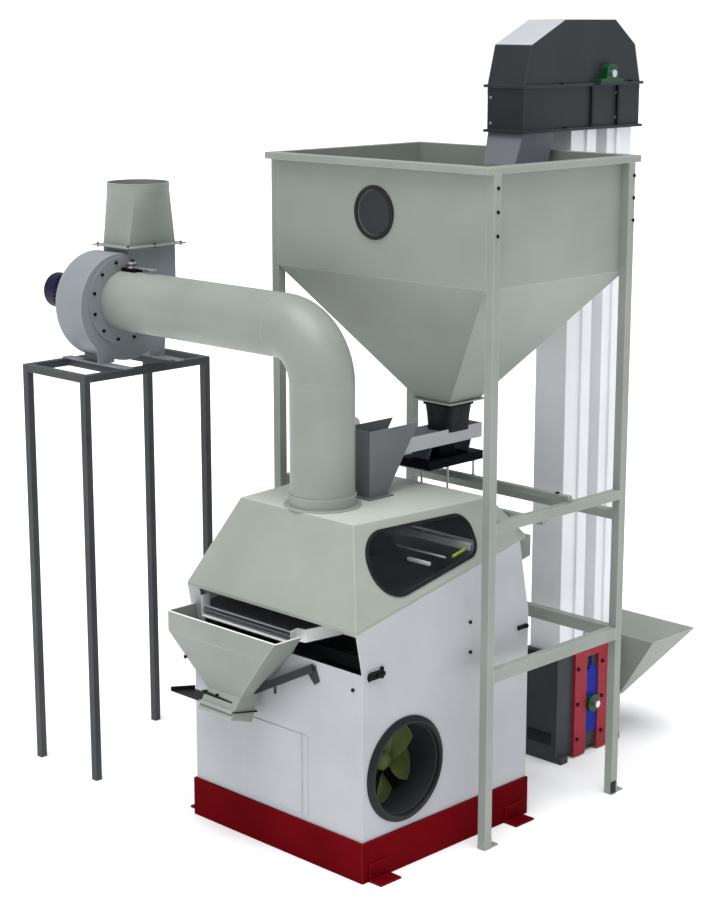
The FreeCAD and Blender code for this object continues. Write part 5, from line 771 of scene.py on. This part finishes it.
WIRE = 5.5
loop_line = long_ring((624.0, -530.0, 1054.0), 34.0, 17.0)
surface("front_latch_loop", swept(loop_line, circle(WIRE, 8), up=RIGHT, loop=True), black_oxide,
        "clamp_lever_front", loop=True)
latch_rows = [(617.0, -484.0, 1076.0), (617.0, -484.0, 1036.0), (613.2, -571.0, 1036.0)]
bolts("latch_bolts", latch_rows, RIGHT, 17.0, 9.0, black_oxide, "frame")
half_turn = np.linspace(0.0, np.pi, 12)
round_top = [(32.0 + 43.0 * math.cos(t), 2100.0 + 38.0 * math.sin(t)) for t in half_turn]
guard = [(75.0, 2060.0)] + round_top + [(-11.0, 2060.0)]
surface("inlet_guard", np.stack([[(x, y, z) for y, z in guard] for x in (-88.0, -82.4)]),
        casing_enamel, "frame")
print("latch and guard placed")

# %% [markdown]
# ## Floor and light
# The photograph is a catalogue picture on white: broad, soft light from above, a bright
# surround and hardly any shadow. The floor is pale and rough, and the world around is white to
# the camera and dimmer as a light, so that the forms still turn. A wide sun stands for the
# ceiling, and one faint softbox lifts the front.

# %% Floor
floor_finish, tree, shader, output, place = blank("pale_studio_floor")
speck = add(tree, "ShaderNodeTexNoise", {"Vector": place, "Scale": per_metre(600.0)})
tree.links.new(ramp(tree, speck.outputs["Fac"], [(0.3, "#fdfdfd"), (0.7, "#ffffff")]),
               shader.inputs["Base Color"])
shader.inputs["Roughness"].default_value = 0.9
shader.inputs["Specular IOR Level"].default_value = 0.0
mesh = bpy.data.meshes.new("studio_floor")
FLOOR_CORNERS = [(-60, -60, 0), (60, -60, 0), (60, 90, 0), (-60, 90, 0)]
mesh.from_pydata(FLOOR_CORNERS, [], [(0, 1, 2, 3)])
mesh.materials.append(floor_finish)
floor = bpy.data.objects.new("studio_floor", mesh)
bpy.context.scene.collection.objects.link(floor)
print("floor laid")

# %% Lights
SURROUND = 0.57
CEILING_POWER, CEILING_SPREAD = 3.3, 50.0
CEILING_TILT, CEILING_TURN = 15.0, 32.0

world = bpy.data.worlds.new("studio")
bpy.context.scene.world = world
world.use_nodes = True
surround = world.node_tree
surround.nodes.clear()
seen = add(surround, "ShaderNodeBackground", {"Color": (1, 1, 1, 1), "Strength": 1.0})
cast = add(surround, "ShaderNodeBackground", {"Color": colour("#f4f6fa"),
                                                      "Strength": SURROUND})
ray = add(surround, "ShaderNodeLightPath")
both = add(surround, "ShaderNodeMixShader", {"Fac": ray.outputs["Is Camera Ray"],
                                             1: cast.outputs["Background"],
                                             2: seen.outputs["Background"]})
add(surround, "ShaderNodeOutputWorld", {"Surface": both.outputs["Shader"]})


def softbox(name, at, target, size, power):
    """A square area light that looks from a place to a target, both in mm."""
    light = bpy.data.lights.new(name, "AREA")
    light.shape = "SQUARE"
    light.size = size / 1000.0
    light.energy = power
    made = bpy.data.objects.new(name, light)
    made.location = [value / 1000.0 for value in at]
    to = np.array(target, float) - np.array(at, float)
    turn = math.atan2(to[1], to[0])
    tilt = math.atan2(-to[2], math.hypot(to[0], to[1]))
    made.rotation_euler = (math.pi / 2 - tilt, 0.0, turn - math.pi / 2)
    bpy.context.scene.collection.objects.link(made)


softbox("front_softbox", (-1500, -8500, 4500), (0, 0, 2000), 5000.0, 6.0)
ceiling = bpy.data.lights.new("ceiling_sun", "SUN")
ceiling.angle = math.radians(CEILING_SPREAD)
ceiling.energy = CEILING_POWER
overhead = bpy.data.objects.new("ceiling_sun", ceiling)
overhead.rotation_euler = (math.radians(CEILING_TILT), 0.0, math.radians(CEILING_TURN))
bpy.context.scene.collection.objects.link(overhead)
print("lit")
